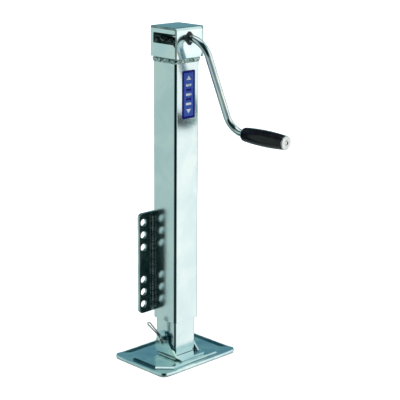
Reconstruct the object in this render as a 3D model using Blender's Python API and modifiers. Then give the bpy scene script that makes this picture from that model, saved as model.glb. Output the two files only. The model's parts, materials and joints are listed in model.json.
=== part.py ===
"""Side-wind trailer tongue jack with a square drop tube, drop foot and bolt-on plate.

Frame: the origin is the centre of the mounting plate's back face, +Z runs up the
lead screw, +X points to the crank side and -Y to the side with the grease window.
Lengths are metres. The jack is fully retracted and the crank hangs down and back.
"""

import math

import bmesh
import bpy
from mathutils import Matrix, Vector

MM = 0.001
FIT_GAP = 0.3 * MM

# Mounting plate
PLATE_T = 6.05 * MM
PLATE_HALF_W = 67.4 * MM
PLATE_HALF_H = 103.0 * MM
PLATE_CORNER_R = 9.0 * MM
HOLE_R = 7.15 * MM
HOLE_COLUMN_Y = 56.2 * MM
HOLE_PITCH = 25.4 * MM
HOLE_FIRST_Z = 33.3 * MM
HOLES_PER_QUARTER = 3
WELD_R = 2.7 * MM

# Outer tube; its middle is the jack's axis
TUBE_HALF = 31.75 * MM
TUBE_WALL = 3.35 * MM
TUBE_CORNER_R = 5.0 * MM
TUBE_BOTTOM_Z = -116.0 * MM
TUBE_TOP_Z = 409.0 * MM
AXIS_X = PLATE_T + FIT_GAP + TUBE_HALF

# Ram: the inner tube that the screw drives out
RAM_HALF = 28.0 * MM
RAM_WALL = 3.2 * MM
RAM_CORNER_R = 4.0 * MM
RAM_BOTTOM_Z = -185.7 * MM
RAM_TOP_Z = 372.0 * MM
LIFT_NUT_H = 27.0 * MM

# Gear housing on top of the outer tube
HEAD_HALF_X = 36.1 * MM
HEAD_SHEET = 4.35 * MM
HEAD_BOTTOM_Z = 409.3 * MM
HEAD_TOP_Z = 467.7 * MM
HEAD_BEND_R = 8.0 * MM
HEAD_FOLD_R = 2.5 * MM
HEAD_FRONT_Y = -33.0 * MM
HEAD_REAR_Y = 34.0 * MM
WALL_T = 4.0 * MM
WINDOW_LEFT_X = -28.3 * MM
WINDOW_BOTTOM_Z = 435.5 * MM
WINDOW_TOP_Z = 455.0 * MM

# Crank shaft and handle
SHAFT_Z = 446.6 * MM
ROD_R = 7.0 * MM
BORE_R = ROD_R + FIT_GAP
BUSHING_SLEEVE_R = 9.3 * MM
ARM_PLANE_X = 73.8 * MM
ROD_BEND_R = 33.3 * MM
CRANK_THROW = 199.2 * MM
CRANK_TILT = math.radians(23.0)
GRIP_START_X = 109.1 * MM
GRIP_END_X = 213.0 * MM
GRIP_END_R = 13.4 * MM
GRIP_MIDDLE_R = 16.0 * MM
END_CAP_T = 2.2 * MM

# Bevel gear pair whose cones meet on the jack's axis at shaft height
GEAR_MODULE = 2.3 * MM
PINION_TEETH = 12
GEAR_TEETH = 18
FACE_SHARE = 0.32
ADDENDUM = 0.85 * GEAR_MODULE
DEDENDUM = 1.2 * GEAR_MODULE
GEAR_BACK_Z = 418.7 * MM
NUT_SEAT_Z = 430.0 * MM
PINION_BACK_X = 28.5 * MM
HUB_R = 11.0 * MM
PIN_R = 2.0 * MM

# Lead screw, with a single V thread
THREAD_LEAD = 6.0 * MM
THREAD_CREST_R = 12.0 * MM
THREAD_ROOT_R = 9.5 * MM
THREAD_BOTTOM_Z = -40.0 * MM
THREAD_TOP_Z = 386.0 * MM
JOURNAL_R = 9.0 * MM
STUB_R = 7.0 * MM
STEPS_PER_TURN = 12

# Thrust bearing
RACE_INNER_R = JOURNAL_R + FIT_GAP
RACE_OUTER_R = 21.0 * MM
RACE_T = 2.5 * MM
BALL_R = 2.0 * MM
BALL_PITCH_R = 15.0 * MM
BALL_COUNT = 12

# Foot
PIN_Z = -154.3 * MM
CLEVIS_R = 5.25 * MM
EAR_T = 4.0 * MM
EAR_INNER_Y = RAM_HALF + FIT_GAP
WEB_BOTTOM_Z = -190.2 * MM
WEB_TOP_Z = -186.2 * MM
GROUND_Z = -198.3 * MM
FOOT_HALF_X = 73.0 * MM
FOOT_HALF_Y = 100.0 * MM
FOOT_CORNER_R = 11.0 * MM
FOOT_T = 4.8 * MM
FOOT_FLANGE_W = 13.0 * MM
FOOT_FLANGE_RISE = 2.0 * MM
FOOT_STEP_RUN = 4.5 * MM
FOOT_STEP_RISE = 3.0 * MM
FOOT_CHAMFER = 26.0 * MM
FOOT_CURL = 2.5 * MM
FOOT_CURL_REACH = 34.0 * MM

# Hairpin clip
CLIP_WIRE_R = 1.35 * MM
CLIP_Y = -41.0 * MM
CLIP_LEAN = math.radians(36.0)
CLIP_BEND_START = 8.0 * MM
CLIP_BEND_SLOPE = 0.48

ZINC = ((0.60, 0.68, 0.68), 0.28, 1.0)
DARK_ZINC = ((0.42, 0.50, 0.52), 0.35, 1.0)
RAW_STEEL = ((0.50, 0.50, 0.48), 0.45, 1.0)
BEARING_STEEL = ((0.62, 0.62, 0.62), 0.2, 1.0)
BLACK_NYLON = ((0.02, 0.02, 0.02), 0.5, 0.0)
GRIP_BLACK = ((0.012, 0.012, 0.014), 0.25, 0.0)
LABEL_BLUE = ((0.03, 0.06, 0.35), 0.3, 0.0)
BRONZE = ((0.55, 0.38, 0.18), 0.4, 1.0)

PARTS = "trailer_tongue_jack"
CUTTERS = "cutters"


# Scene and object helpers

def clear_scene():
    for obj in list(bpy.data.objects):
        bpy.data.objects.remove(obj, do_unlink=True)


def collection(name):
    found = bpy.data.collections.get(name)
    if found is None:
        found = bpy.data.collections.new(name)
        bpy.context.scene.collection.children.link(found)
    return found


def make_material(name, finish):
    color, roughness, metallic = finish
    material = bpy.data.materials.new(name)
    material.use_nodes = True
    shader = material.node_tree.nodes["Principled BSDF"]
    shader.inputs["Base Color"].default_value = (*color, 1.0)
    shader.inputs["Roughness"].default_value = roughness
    shader.inputs["Metallic"].default_value = metallic
    return material


def world_origin(obj):
    """Where an object's origin lies, given that no parent is turned."""
    if obj.parent is None:
        return obj.location.copy()
    return world_origin(obj.parent) + obj.location


def place(obj, pivot, location, rotation):
    obj.parent = pivot
    obj.location = Vector(location) - world_origin(pivot)
    obj.rotation_euler = rotation


def make_pivot(name, location, parent=None):
    """An empty on a joint's axis, which carries the pieces that move together."""
    pivot = bpy.data.objects.new(name, None)
    collection(PARTS).objects.link(pivot)
    if parent is None:
        pivot.location = location
    else:
        place(pivot, parent, location, (0.0, 0.0, 0.0))
    return pivot


def make_part(mesh, finish, pivot, location, rotation=(0.0, 0.0, 0.0)):
    """A sub-part: the mesh's name is the part's name."""
    obj = bpy.data.objects.new(mesh.name, mesh)
    collection(PARTS).objects.link(obj)
    place(obj, pivot, location, rotation)
    mesh.materials.append(make_material(mesh.name + "_finish", finish))
    return obj


def combine(target, mesh, location, rotation=(0.0, 0.0, 0.0), operation="DIFFERENCE"):
    """Cut a mesh out of the target, or join it on, with a tool of its own."""
    tool = bpy.data.objects.new(mesh.name, mesh)
    collection(CUTTERS).objects.link(tool)
    place(tool, target.parent, location, rotation)
    tool.hide_render = True
    tool.display_type = "WIRE"
    modifier = target.modifiers.new(mesh.name, "BOOLEAN")
    modifier.operation = operation
    modifier.object = tool
    modifier.solver = "EXACT"


def round_edges(obj, width, segments=2):
    modifier = obj.modifiers.new("rounded_edges", "BEVEL")
    modifier.width = width
    modifier.segments = segments
    modifier.limit_method = "ANGLE"


def shade_round(mesh):
    mesh.shade_smooth()
    mesh.set_sharp_from_angle(angle=math.radians(35.0))


# Shape helpers

def box_mesh(name, size):
    mesh = bpy.data.meshes.new(name)
    bm = bmesh.new()
    bmesh.ops.create_cube(bm, size=1.0, matrix=Matrix.Diagonal((*size, 1.0)))
    bm.to_mesh(mesh)
    bm.free()
    return mesh


def rod_mesh(name, radius, length, segments=24):
    """A plain cylinder along Z, centred on its origin."""
    mesh = bpy.data.meshes.new(name)
    bm = bmesh.new()
    bmesh.ops.create_cone(
        bm, cap_ends=True, segments=segments, radius1=radius, radius2=radius, depth=length
    )
    bm.to_mesh(mesh)
    bm.free()
    shade_round(mesh)
    return mesh


def evaluated_mesh(name, data):
    """The mesh of a curve or of a mesh with modifiers, with its seams welded."""
    source = data
    if not isinstance(data, bpy.types.Object):
        source = bpy.data.objects.new(name + "_source", data)
    bpy.context.scene.collection.objects.link(source)
    depsgraph = bpy.context.evaluated_depsgraph_get()
    mesh = bpy.data.meshes.new_from_object(source.evaluated_get(depsgraph))
    bpy.data.objects.remove(source, do_unlink=True)
    mesh.name = name
    mesh.materials.clear()
    bm = bmesh.new()
    bm.from_mesh(mesh)
    bmesh.ops.remove_doubles(bm, verts=bm.verts, dist=0.005 * MM)
    bmesh.ops.recalc_face_normals(bm, faces=bm.faces)
    bm.to_mesh(mesh)
    bm.free()
    shade_round(mesh)
    return mesh


def turned_mesh(name, profile, closed=False, steps=32):
    """Turn (radius, z) points about Z; they run down the outer side, and up a bore."""
    mesh = bpy.data.meshes.new(name + "_profile")
    bm = bmesh.new()
    verts = [bm.verts.new((radius, 0.0, z)) for radius, z in profile]
    for first, second in zip(verts, verts[1:]):
        bm.edges.new((first, second))
    if closed:
        bm.edges.new((verts[-1], verts[0]))
    bm.to_mesh(mesh)
    bm.free()
    source = bpy.data.objects.new(name + "_source", mesh)
    screw = source.modifiers.new("turn", "SCREW")
    screw.axis = "Z"
    screw.steps = steps
    screw.render_steps = steps
    screw.use_merge_vertices = True
    screw.merge_threshold = 0.00001
    return evaluated_mesh(name, source)


def ring_mesh(name, inner_r, outer_r, thickness, steps=32):
    half = thickness / 2
    profile = [(inner_r, half), (outer_r, half), (outer_r, -half), (inner_r, -half)]
    return turned_mesh(name, profile, closed=True, steps=steps)


def extruded_mesh(name, outlines, thickness):
    """A flat outline, with any holes after it, given a thickness along Z."""
    curve = bpy.data.curves.new(name, "CURVE")
    curve.dimensions = "2D"
    curve.fill_mode = "BOTH"
    curve.extrude = thickness / 2
    for outline in outlines:
        spline = curve.splines.new("POLY")
        spline.points.add(len(outline) - 1)
        spline.use_cyclic_u = True
        for point, (x, y) in zip(spline.points, outline):
            point.co = (x, y, 0.0, 1.0)
    return evaluated_mesh(name, curve)


def swept_mesh(name, path, radius, resolution=2):
    """A round bar along a path."""
    curve = bpy.data.curves.new(name, "CURVE")
    curve.dimensions = "3D"
    curve.bevel_depth = radius
    curve.bevel_resolution = resolution
    curve.use_fill_caps = True
    spline = curve.splines.new("POLY")
    spline.points.add(len(path) - 1)
    for point, place_on_path in zip(spline.points, path):
        point.co = (*place_on_path, 1.0)
    return evaluated_mesh(name, curve)


def fillet(before, corner, after, radius, steps):
    """Points of the arc that rounds one corner of a path or outline."""
    to_before = (before - corner).normalized()
    to_after = (after - corner).normalized()
    half_angle = to_before.angle(to_after) / 2
    middle = (to_before + to_after).normalized()
    centre = corner + middle * (radius / math.sin(half_angle))
    start = corner + to_before * (radius / math.tan(half_angle)) - centre
    end = corner + to_after * (radius / math.tan(half_angle)) - centre
    sweep = start.angle(end)
    points = []
    for step in range(steps + 1):
        share = step / steps
        first = math.sin((1.0 - share) * sweep) / math.sin(sweep)
        second = math.sin(share * sweep) / math.sin(sweep)
        points.append(centre + start * first + end * second)
    return points


def rounded_outline(corners, steps=5):
    """A closed outline from (x, y, corner radius) corners."""
    places = [Vector((x, y, 0.0)) for x, y, _ in corners]
    outline = []
    for index, (_, _, radius) in enumerate(corners):
        before = places[index - 1]
        after = places[(index + 1) % len(places)]
        if radius > 0.0:
            arc = fillet(before, places[index], after, radius, steps)
            outline.extend((point.x, point.y) for point in arc)
        else:
            outline.append((places[index].x, places[index].y))
    return outline


def rounded_rectangle(half_x, half_y, radius, steps=5):
    corners = [
        (half_x, half_y, radius),
        (-half_x, half_y, radius),
        (-half_x, -half_y, radius),
        (half_x, -half_y, radius),
    ]
    return rounded_outline(corners, steps)


def bent_path(corners, radius, steps):
    """A path through the corners, with each inner corner bent to the same radius."""
    path = [corners[0]]
    for before, corner, after in zip(corners, corners[1:], corners[2:]):
        path.extend(fillet(before, corner, after, radius, steps))
    path.append(corners[-1])
    return path


def circle_outline(x, y, radius, steps=20):
    angles = [2.0 * math.pi * step / steps for step in range(steps)]
    return [(x + radius * math.cos(angle), y + radius * math.sin(angle)) for angle in angles]


def loft_mesh(name, loops, wrap):
    """Quads between loops of equal length; wrap joins the last loop to the first."""
    mesh = bpy.data.meshes.new(name)
    bm = bmesh.new()
    rings = [[bm.verts.new(point) for point in loop] for loop in loops]
    pairs = list(zip(rings, rings[1:]))
    if wrap:
        pairs.append((rings[-1], rings[0]))
    else:
        bm.faces.new(rings[0])
        bm.faces.new(rings[-1])
    for lower, upper in pairs:
        for index in range(len(lower)):
            following = (index + 1) % len(lower)
            bm.faces.new((lower[index], lower[following], upper[following], upper[index]))
    bmesh.ops.recalc_face_normals(bm, faces=bm.faces)
    bm.to_mesh(mesh)
    bm.free()
    shade_round(mesh)
    return mesh


# Turns that lay a piece's local axes along the object's

ALONG_X = (0.0, math.pi / 2, 0.0)
ALONG_MINUS_X = (0.0, -math.pi / 2, 0.0)
ALONG_MINUS_Y = (math.pi / 2, 0.0, 0.0)


# Housing

def square_tube(name, half, wall, corner_r, bottom_z, top_z, pivot):
    outer = rounded_rectangle(half, half, corner_r)
    inner = rounded_rectangle(half - wall, half - wall, corner_r - wall / 2)
    mesh = extruded_mesh(name, [outer, inner], top_z - bottom_z)
    return make_part(mesh, ZINC, pivot, (AXIS_X, 0.0, (top_z + bottom_z) / 2))


def mounting_plate(pivot):
    """Bolt-on plate: its two columns of holes straddle the trailer's frame rail."""
    outlines = [rounded_rectangle(PLATE_HALF_H, PLATE_HALF_W, PLATE_CORNER_R)]
    for side in (-1, 1):
        for end in (-1, 1):
            for row in range(HOLES_PER_QUARTER):
                hole_z = end * (HOLE_FIRST_Z + row * HOLE_PITCH)
                outlines.append(circle_outline(hole_z, side * HOLE_COLUMN_Y, HOLE_R, 16))
    mesh = extruded_mesh("mounting_plate", outlines, PLATE_T)
    make_part(mesh, ZINC, pivot, (PLATE_T / 2, 0.0, 0.0), ALONG_X)


def plate_welds(pivot):
    """Beads down both sides of the outer tube, where it meets the plate."""
    offset_y = TUBE_HALF + FIT_GAP + WELD_R
    bead_x = PLATE_T + FIT_GAP + WELD_R
    for name, side in (("plate_weld_left", -1), ("plate_weld_right", 1)):
        mesh = rod_mesh(name, WELD_R, 2 * PLATE_HALF_H - 14.0 * MM, segments=10)
        make_part(mesh, DARK_ZINC, pivot, (bead_x, side * offset_y, 0.0))


def gear_housing(pivot):
    """Bent sheet: two legs and the top, open to the front, the rear and the tube.

    The crank side's bend is round; the other is a tight fold, notched for the front wall.
    """
    inner_x = HEAD_HALF_X - HEAD_SHEET
    inner_top = HEAD_TOP_Z - HEAD_SHEET
    corners = [
        (-HEAD_HALF_X, HEAD_BOTTOM_Z, 0.0),
        (-HEAD_HALF_X, HEAD_TOP_Z, HEAD_FOLD_R),
        (HEAD_HALF_X, HEAD_TOP_Z, HEAD_BEND_R),
        (HEAD_HALF_X, HEAD_BOTTOM_Z, 0.0),
        (inner_x, HEAD_BOTTOM_Z, 0.0),
        (inner_x, inner_top, HEAD_BEND_R - HEAD_SHEET),
        (-inner_x, inner_top, 0.0),
        (-inner_x, HEAD_BOTTOM_Z, 0.0),
    ]
    depth = HEAD_REAR_Y - HEAD_FRONT_Y
    mesh = extruded_mesh("gear_housing", [rounded_outline(corners)], depth)
    middle_y = (HEAD_REAR_Y + HEAD_FRONT_Y) / 2
    housing = make_part(mesh, ZINC, pivot, (AXIS_X, middle_y, 0.0), ALONG_MINUS_Y)
    bore = rod_mesh("housing_shaft_bore", BUSHING_SLEEVE_R + FIT_GAP, 3 * HEAD_HALF_X)
    combine(housing, bore, (AXIS_X, 0.0, SHAFT_Z), ALONG_X)
    corner = box_mesh("housing_corner_cut", (3 * HEAD_SHEET, 10.0 * MM, 20.0 * MM))
    cut_place = (AXIS_X + HEAD_HALF_X, HEAD_REAR_Y + 1.5 * MM, HEAD_BOTTOM_Z)
    combine(housing, corner, cut_place, (math.radians(-24.0), 0.0, 0.0))
    over_cut = 1.0 * MM
    notch_size = Vector((
        HEAD_SHEET + 2 * over_cut,
        WALL_T + FIT_GAP + over_cut,
        inner_top - HEAD_BOTTOM_Z + over_cut,
    ))
    notch_low = Vector((
        AXIS_X - HEAD_HALF_X - over_cut,
        HEAD_FRONT_Y - over_cut,
        HEAD_BOTTOM_Z - over_cut,
    ))
    combine(housing, box_mesh("housing_wall_notch", notch_size), notch_low + notch_size / 2)


def front_wall(pivot):
    """Front cover with the grease window, which is open up to the crank-side leg.

    It is flush with the other leg's outside. Its free ends beside the window are cut off
    at a slant.
    """
    side_x = HEAD_HALF_X - HEAD_SHEET - FIT_GAP
    top_z = HEAD_TOP_Z - HEAD_SHEET - FIT_GAP
    slant = 5.5 * MM
    corners = [
        (-HEAD_HALF_X, HEAD_BOTTOM_Z, 0.0),
        (side_x, HEAD_BOTTOM_Z, 0.0),
        (side_x, WINDOW_BOTTOM_Z - slant, 0.0),
        (side_x - slant, WINDOW_BOTTOM_Z, 0.0),
        (WINDOW_LEFT_X, WINDOW_BOTTOM_Z, 1.5 * MM),
        (WINDOW_LEFT_X, WINDOW_TOP_Z, 1.5 * MM),
        (side_x - slant / 2, WINDOW_TOP_Z, 0.0),
        (side_x, WINDOW_TOP_Z + slant / 2, 0.0),
        (side_x, top_z, 3.0 * MM),
        (-HEAD_HALF_X, top_z, 0.0),
    ]
    mesh = extruded_mesh("front_wall", [rounded_outline(corners)], WALL_T)
    middle = (AXIS_X, HEAD_FRONT_Y + WALL_T / 2, 0.0)
    make_part(mesh, ZINC, pivot, middle, ALONG_MINUS_Y)


def rear_wall(pivot):
    size = (2 * HEAD_HALF_X, WALL_T, HEAD_TOP_Z - HEAD_BOTTOM_Z)
    middle = (
        AXIS_X,
        HEAD_REAR_Y + FIT_GAP + WALL_T / 2,
        (HEAD_TOP_Z + HEAD_BOTTOM_Z) / 2,
    )
    wall = make_part(box_mesh("rear_wall", size), ZINC, pivot, middle)
    round_edges(wall, 1.0 * MM)


def head_weld(pivot):
    """Band of weld between the outer tube and the gear housing."""
    band_h = 9.2 * MM
    inner = TUBE_HALF + FIT_GAP
    outlines = [
        rounded_rectangle(inner + 3.0 * MM, inner + 3.0 * MM, 6.0 * MM),
        rounded_rectangle(inner, inner, TUBE_CORNER_R),
    ]
    mesh = extruded_mesh("head_weld", outlines, band_h)
    top_z = HEAD_BOTTOM_Z - FIT_GAP
    make_part(mesh, DARK_ZINC, pivot, (AXIS_X, 0.0, top_z - band_h / 2))


def bearing_plate(pivot):
    """Square plug in the tube's top that guides the screw's journal."""
    half = TUBE_HALF - TUBE_WALL - FIT_GAP
    thickness = 10.0 * MM
    outlines = [rounded_rectangle(half, half, 4.0 * MM), circle_outline(0.0, 0.0, RACE_INNER_R, 32)]
    mesh = extruded_mesh("bearing_plate", outlines, thickness)
    top_z = TUBE_TOP_Z - 0.5 * MM
    make_part(mesh, RAW_STEEL, pivot, (AXIS_X, 0.0, top_z - thickness / 2))


def race(name, bottom_z, pivot):
    mesh = ring_mesh(name, RACE_INNER_R, RACE_OUTER_R, RACE_T)
    make_part(mesh, BEARING_STEEL, pivot, (AXIS_X, 0.0, bottom_z + RACE_T / 2))


def crank_bushing(pivot):
    """Square black flange set on its corner, with a sleeve through the leg."""
    flange_t = 2.6 * MM
    flange_half = 9.8 * MM
    flange_x = HEAD_HALF_X + FIT_GAP + flange_t / 2
    outlines = [
        rounded_rectangle(flange_half, flange_half, 2.0 * MM),
        circle_outline(0.0, 0.0, BORE_R, 32),
    ]
    mesh = extruded_mesh("crank_bushing", outlines, flange_t)
    mesh.transform(Matrix.Rotation(math.radians(45.0), 4, "Z"))
    bushing = make_part(mesh, BLACK_NYLON, pivot, (AXIS_X + flange_x, 0.0, SHAFT_Z), ALONG_X)
    sleeve_start = HEAD_HALF_X - HEAD_SHEET
    sleeve_end = flange_x
    sleeve = ring_mesh("bushing_sleeve", BORE_R, BUSHING_SLEEVE_R, sleeve_end - sleeve_start)
    middle_x = AXIS_X + (sleeve_start + sleeve_end) / 2
    combine(bushing, sleeve, (middle_x, 0.0, SHAFT_Z), ALONG_X, "UNION")


def rear_bushing(pivot):
    mesh = ring_mesh("rear_bushing", BORE_R, BUSHING_SLEEVE_R, HEAD_SHEET)
    middle_x = AXIS_X - HEAD_HALF_X + HEAD_SHEET / 2
    make_part(mesh, BLACK_NYLON, pivot, (middle_x, 0.0, SHAFT_Z), ALONG_X)


def label_plate(pivot):
    """Printed foil label on the crank-side face of the outer tube."""
    thickness = 0.3 * MM
    label_h = 92.5 * MM
    label_w = 33.5 * MM
    middle = (AXIS_X + TUBE_HALF + FIT_GAP + thickness / 2, 2.25 * MM, 339.25 * MM)
    outline = rounded_rectangle(label_h / 2, label_w / 2, 3.0 * MM)
    mesh = extruded_mesh("label_plate", [outline], thickness)
    make_part(mesh, LABEL_BLUE, pivot, middle, ALONG_X)


def build_housing():
    pivot = make_pivot("housing", (0.0, 0.0, 0.0))
    mounting_plate(pivot)
    plate_welds(pivot)
    square_tube(
        "outer_tube", TUBE_HALF, TUBE_WALL, TUBE_CORNER_R, TUBE_BOTTOM_Z, TUBE_TOP_Z, pivot
    )
    gear_housing(pivot)
    front_wall(pivot)
    rear_wall(pivot)
    head_weld(pivot)
    bearing_plate(pivot)
    race("lower_race", TUBE_TOP_Z - 0.2 * MM, pivot)
    crank_bushing(pivot)
    rear_bushing(pivot)
    label_plate(pivot)


# Bevel gears

def bevel_gear_mesh(name, teeth, mate_teeth, tooth_at, rings):
    """A bevel gear whose cone's tip is the origin and whose body lies below it.

    The rings are (radius, z) circles that close the body from the small end of the
    teeth, through the bore and round the back to the large end.
    """
    cone = math.atan2(teeth, mate_teeth)
    pitch_r = GEAR_MODULE * teeth / 2
    cone_length = pitch_r / math.sin(cone)
    along = Vector((math.sin(cone), -math.cos(cone))) * cone_length
    outward = Vector((math.cos(cone), math.sin(cone)))
    tip = along + outward * ADDENDUM
    root = along - outward * DEDENDUM
    pitch_step = 2.0 * math.pi / teeth
    half_tooth = 0.21 * pitch_step
    tooth_shape = [
        (-1.45 * half_tooth, root),
        (-half_tooth, along),
        (-0.5 * half_tooth, tip),
        (0.5 * half_tooth, tip),
        (half_tooth, along),
        (1.45 * half_tooth, root),
        (pitch_step / 2, root),
    ]
    heel = []
    angles = []
    for tooth in range(teeth):
        for offset, section in tooth_shape:
            angle = tooth_at + tooth * pitch_step + offset
            angles.append(angle)
            heel.append(Vector((section.x * math.cos(angle), section.x * math.sin(angle), section.y)))
    toe = [point * (1.0 - FACE_SHARE) for point in heel]
    loops = [heel, toe]
    for radius, z in rings:
        loops.append([(radius * math.cos(a), radius * math.sin(a), z) for a in angles])
    return loft_mesh(name, loops, wrap=True)


# Crank

def crank_tangent():
    return Vector((0.0, math.sin(CRANK_TILT), -math.cos(CRANK_TILT)))


def grip_axis():
    """Where the grip's axis crosses the plane of the jack's axis."""
    return Vector((AXIS_X, 0.0, SHAFT_Z)) + crank_tangent() * CRANK_THROW


def crank_rod(pivot):
    """One bar: the shaft through the housing, the arm and the grip's spindle."""
    arm_top = Vector((ARM_PLANE_X, 0.0, 0.0))
    arm_bottom = arm_top + crank_tangent() * CRANK_THROW
    corners = [
        Vector((-37.9 * MM, 0.0, 0.0)),
        arm_top,
        arm_bottom,
        Vector((GRIP_END_X, arm_bottom.y, arm_bottom.z)),
    ]
    path = bent_path(corners, ROD_BEND_R, 10)
    mesh = swept_mesh("crank_rod", path, ROD_R, resolution=6)
    rod = make_part(mesh, ZINC, pivot, (AXIS_X, 0.0, SHAFT_Z))
    hole = rod_mesh("rod_pin_hole", PIN_R + FIT_GAP, 4 * ROD_R, segments=16)
    combine(rod, hole, (pinion_pin_x(), 0.0, SHAFT_Z), ALONG_MINUS_Y)


def pinion_pin_x():
    return AXIS_X + PINION_BACK_X - 3.2 * MM


def pinion(pivot):
    """Bevel pinion on the crank's side of the lead screw, pinned to the crank bar."""
    front_z = -14.9 * MM
    rings = [(BORE_R, front_z), (BORE_R, -PINION_BACK_X), (HUB_R, -PINION_BACK_X)]
    half_pitch = math.pi / PINION_TEETH
    mesh = bevel_gear_mesh("pinion", PINION_TEETH, GEAR_TEETH, half_pitch, rings)
    gear = make_part(mesh, RAW_STEEL, pivot, (AXIS_X, 0.0, SHAFT_Z), ALONG_MINUS_X)
    hole = rod_mesh("hub_pin_hole", PIN_R + FIT_GAP, 4 * HUB_R, segments=16)
    combine(gear, hole, (pinion_pin_x(), 0.0, SHAFT_Z), ALONG_MINUS_Y)


def pinion_pin(pivot):
    mesh = rod_mesh("pinion_pin", PIN_R, 2 * HUB_R - 1.0 * MM, segments=16)
    make_part(mesh, BEARING_STEEL, pivot, (pinion_pin_x(), 0.0, SHAFT_Z), ALONG_MINUS_Y)


def shaft_ring(name, outer_r, start_x, end_x, axis_place, finish, pivot):
    """A washer, collar or retainer on the rod, from start_x to end_x off the jack's axis."""
    mesh = ring_mesh(name, BORE_R, outer_r, end_x - start_x, steps=24)
    middle = axis_place + Vector(((start_x + end_x) / 2, 0.0, 0.0))
    make_part(mesh, finish, pivot, middle, ALONG_X)


def grip_end_cap(pivot):
    """Bright disc on the spindle's end, dished in the middle, that keeps the grip on."""
    dish_r = 5.0 * MM
    dish_depth = 1.4 * MM
    profile = [
        (0.0, END_CAP_T - dish_depth),
        (dish_r * 0.7, END_CAP_T - dish_depth),
        (dish_r, END_CAP_T),
        (GRIP_END_R - 1.0 * MM, END_CAP_T),
        (GRIP_END_R - 0.2 * MM, END_CAP_T - 0.8 * MM),
        (GRIP_END_R - 0.2 * MM, 0.0),
        (0.0, 0.0),
    ]
    mesh = turned_mesh("grip_end_cap", profile)
    start = grip_axis() + Vector((GRIP_END_X + FIT_GAP, 0.0, 0.0))
    make_part(mesh, BEARING_STEEL, pivot, start, ALONG_X)


def build_crank(housing):
    shaft = Vector((AXIS_X, 0.0, SHAFT_Z))
    pivot = make_pivot("crank", shaft, housing)
    crank_rod(pivot)
    pinion(pivot)
    pinion_pin(pivot)
    collar_start = HEAD_SHEET + FIT_GAP - HEAD_HALF_X
    shaft_ring(
        "shaft_collar", 9.5 * MM, collar_start, collar_start + 2.7 * MM, shaft, RAW_STEEL, pivot
    )
    retainer_end = -HEAD_HALF_X - FIT_GAP
    shaft_ring(
        "rear_retainer", 12.0 * MM, retainer_end - 1.5 * MM, retainer_end, shaft, RAW_STEEL, pivot
    )
    washer_end = GRIP_START_X - FIT_GAP
    shaft_ring(
        "grip_washer", 12.0 * MM, washer_end - 1.4 * MM, washer_end, grip_axis(), ZINC, pivot
    )
    grip_end_cap(pivot)
    return pivot


def build_grip(crank):
    """Barrel-shaped sleeve that turns freely on the crank's spindle."""
    start = grip_axis() + Vector((GRIP_START_X, 0.0, 0.0))
    pivot = make_pivot("grip_pivot", start, crank)
    length = GRIP_END_X - GRIP_START_X
    belly = GRIP_MIDDLE_R - GRIP_END_R
    stations = 12
    profile = [(BORE_R, length), (GRIP_END_R - 1.2 * MM, length)]
    for step in range(stations + 1):
        share = step / stations
        z = length - 1.2 * MM - share * (length - 2.4 * MM)
        profile.append((GRIP_END_R + belly * math.sin(math.pi * share) ** 0.7, z))
    profile.append((GRIP_END_R - 1.2 * MM, 0.0))
    profile.append((BORE_R, 0.0))
    mesh = turned_mesh("grip", profile, closed=True)
    make_part(mesh, GRIP_BLACK, pivot, start, ALONG_X)


# Lead screw

def thread_point(radius, turns, base_z):
    angle = 2.0 * math.pi * turns
    return (radius * math.cos(angle), radius * math.sin(angle), base_z + THREAD_LEAD * turns)


def ring_points(radius, z):
    angles = [2.0 * math.pi * step / STEPS_PER_TURN for step in range(STEPS_PER_TURN)]
    return [(radius * math.cos(angle), radius * math.sin(angle), z) for angle in angles]


def end_faces(bm, helix, crest, root_next, rings):
    """Close one end of the thread with a run of rings and a flat cap."""
    circles = [[bm.verts.new(point) for point in ring_points(radius, z)] for radius, z in rings]
    first = circles[0]
    for step in range(STEPS_PER_TURN):
        following = (step + 1) % STEPS_PER_TURN
        bm.faces.new((first[step], first[following], helix[step + 1], helix[step]))
    bm.faces.new((first[0], helix[0], crest, root_next))
    for inner, outer in zip(circles, circles[1:]):
        for step in range(STEPS_PER_TURN):
            following = (step + 1) % STEPS_PER_TURN
            bm.faces.new((inner[step], inner[following], outer[following], outer[step]))
    bm.faces.new(circles[-1])


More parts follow.
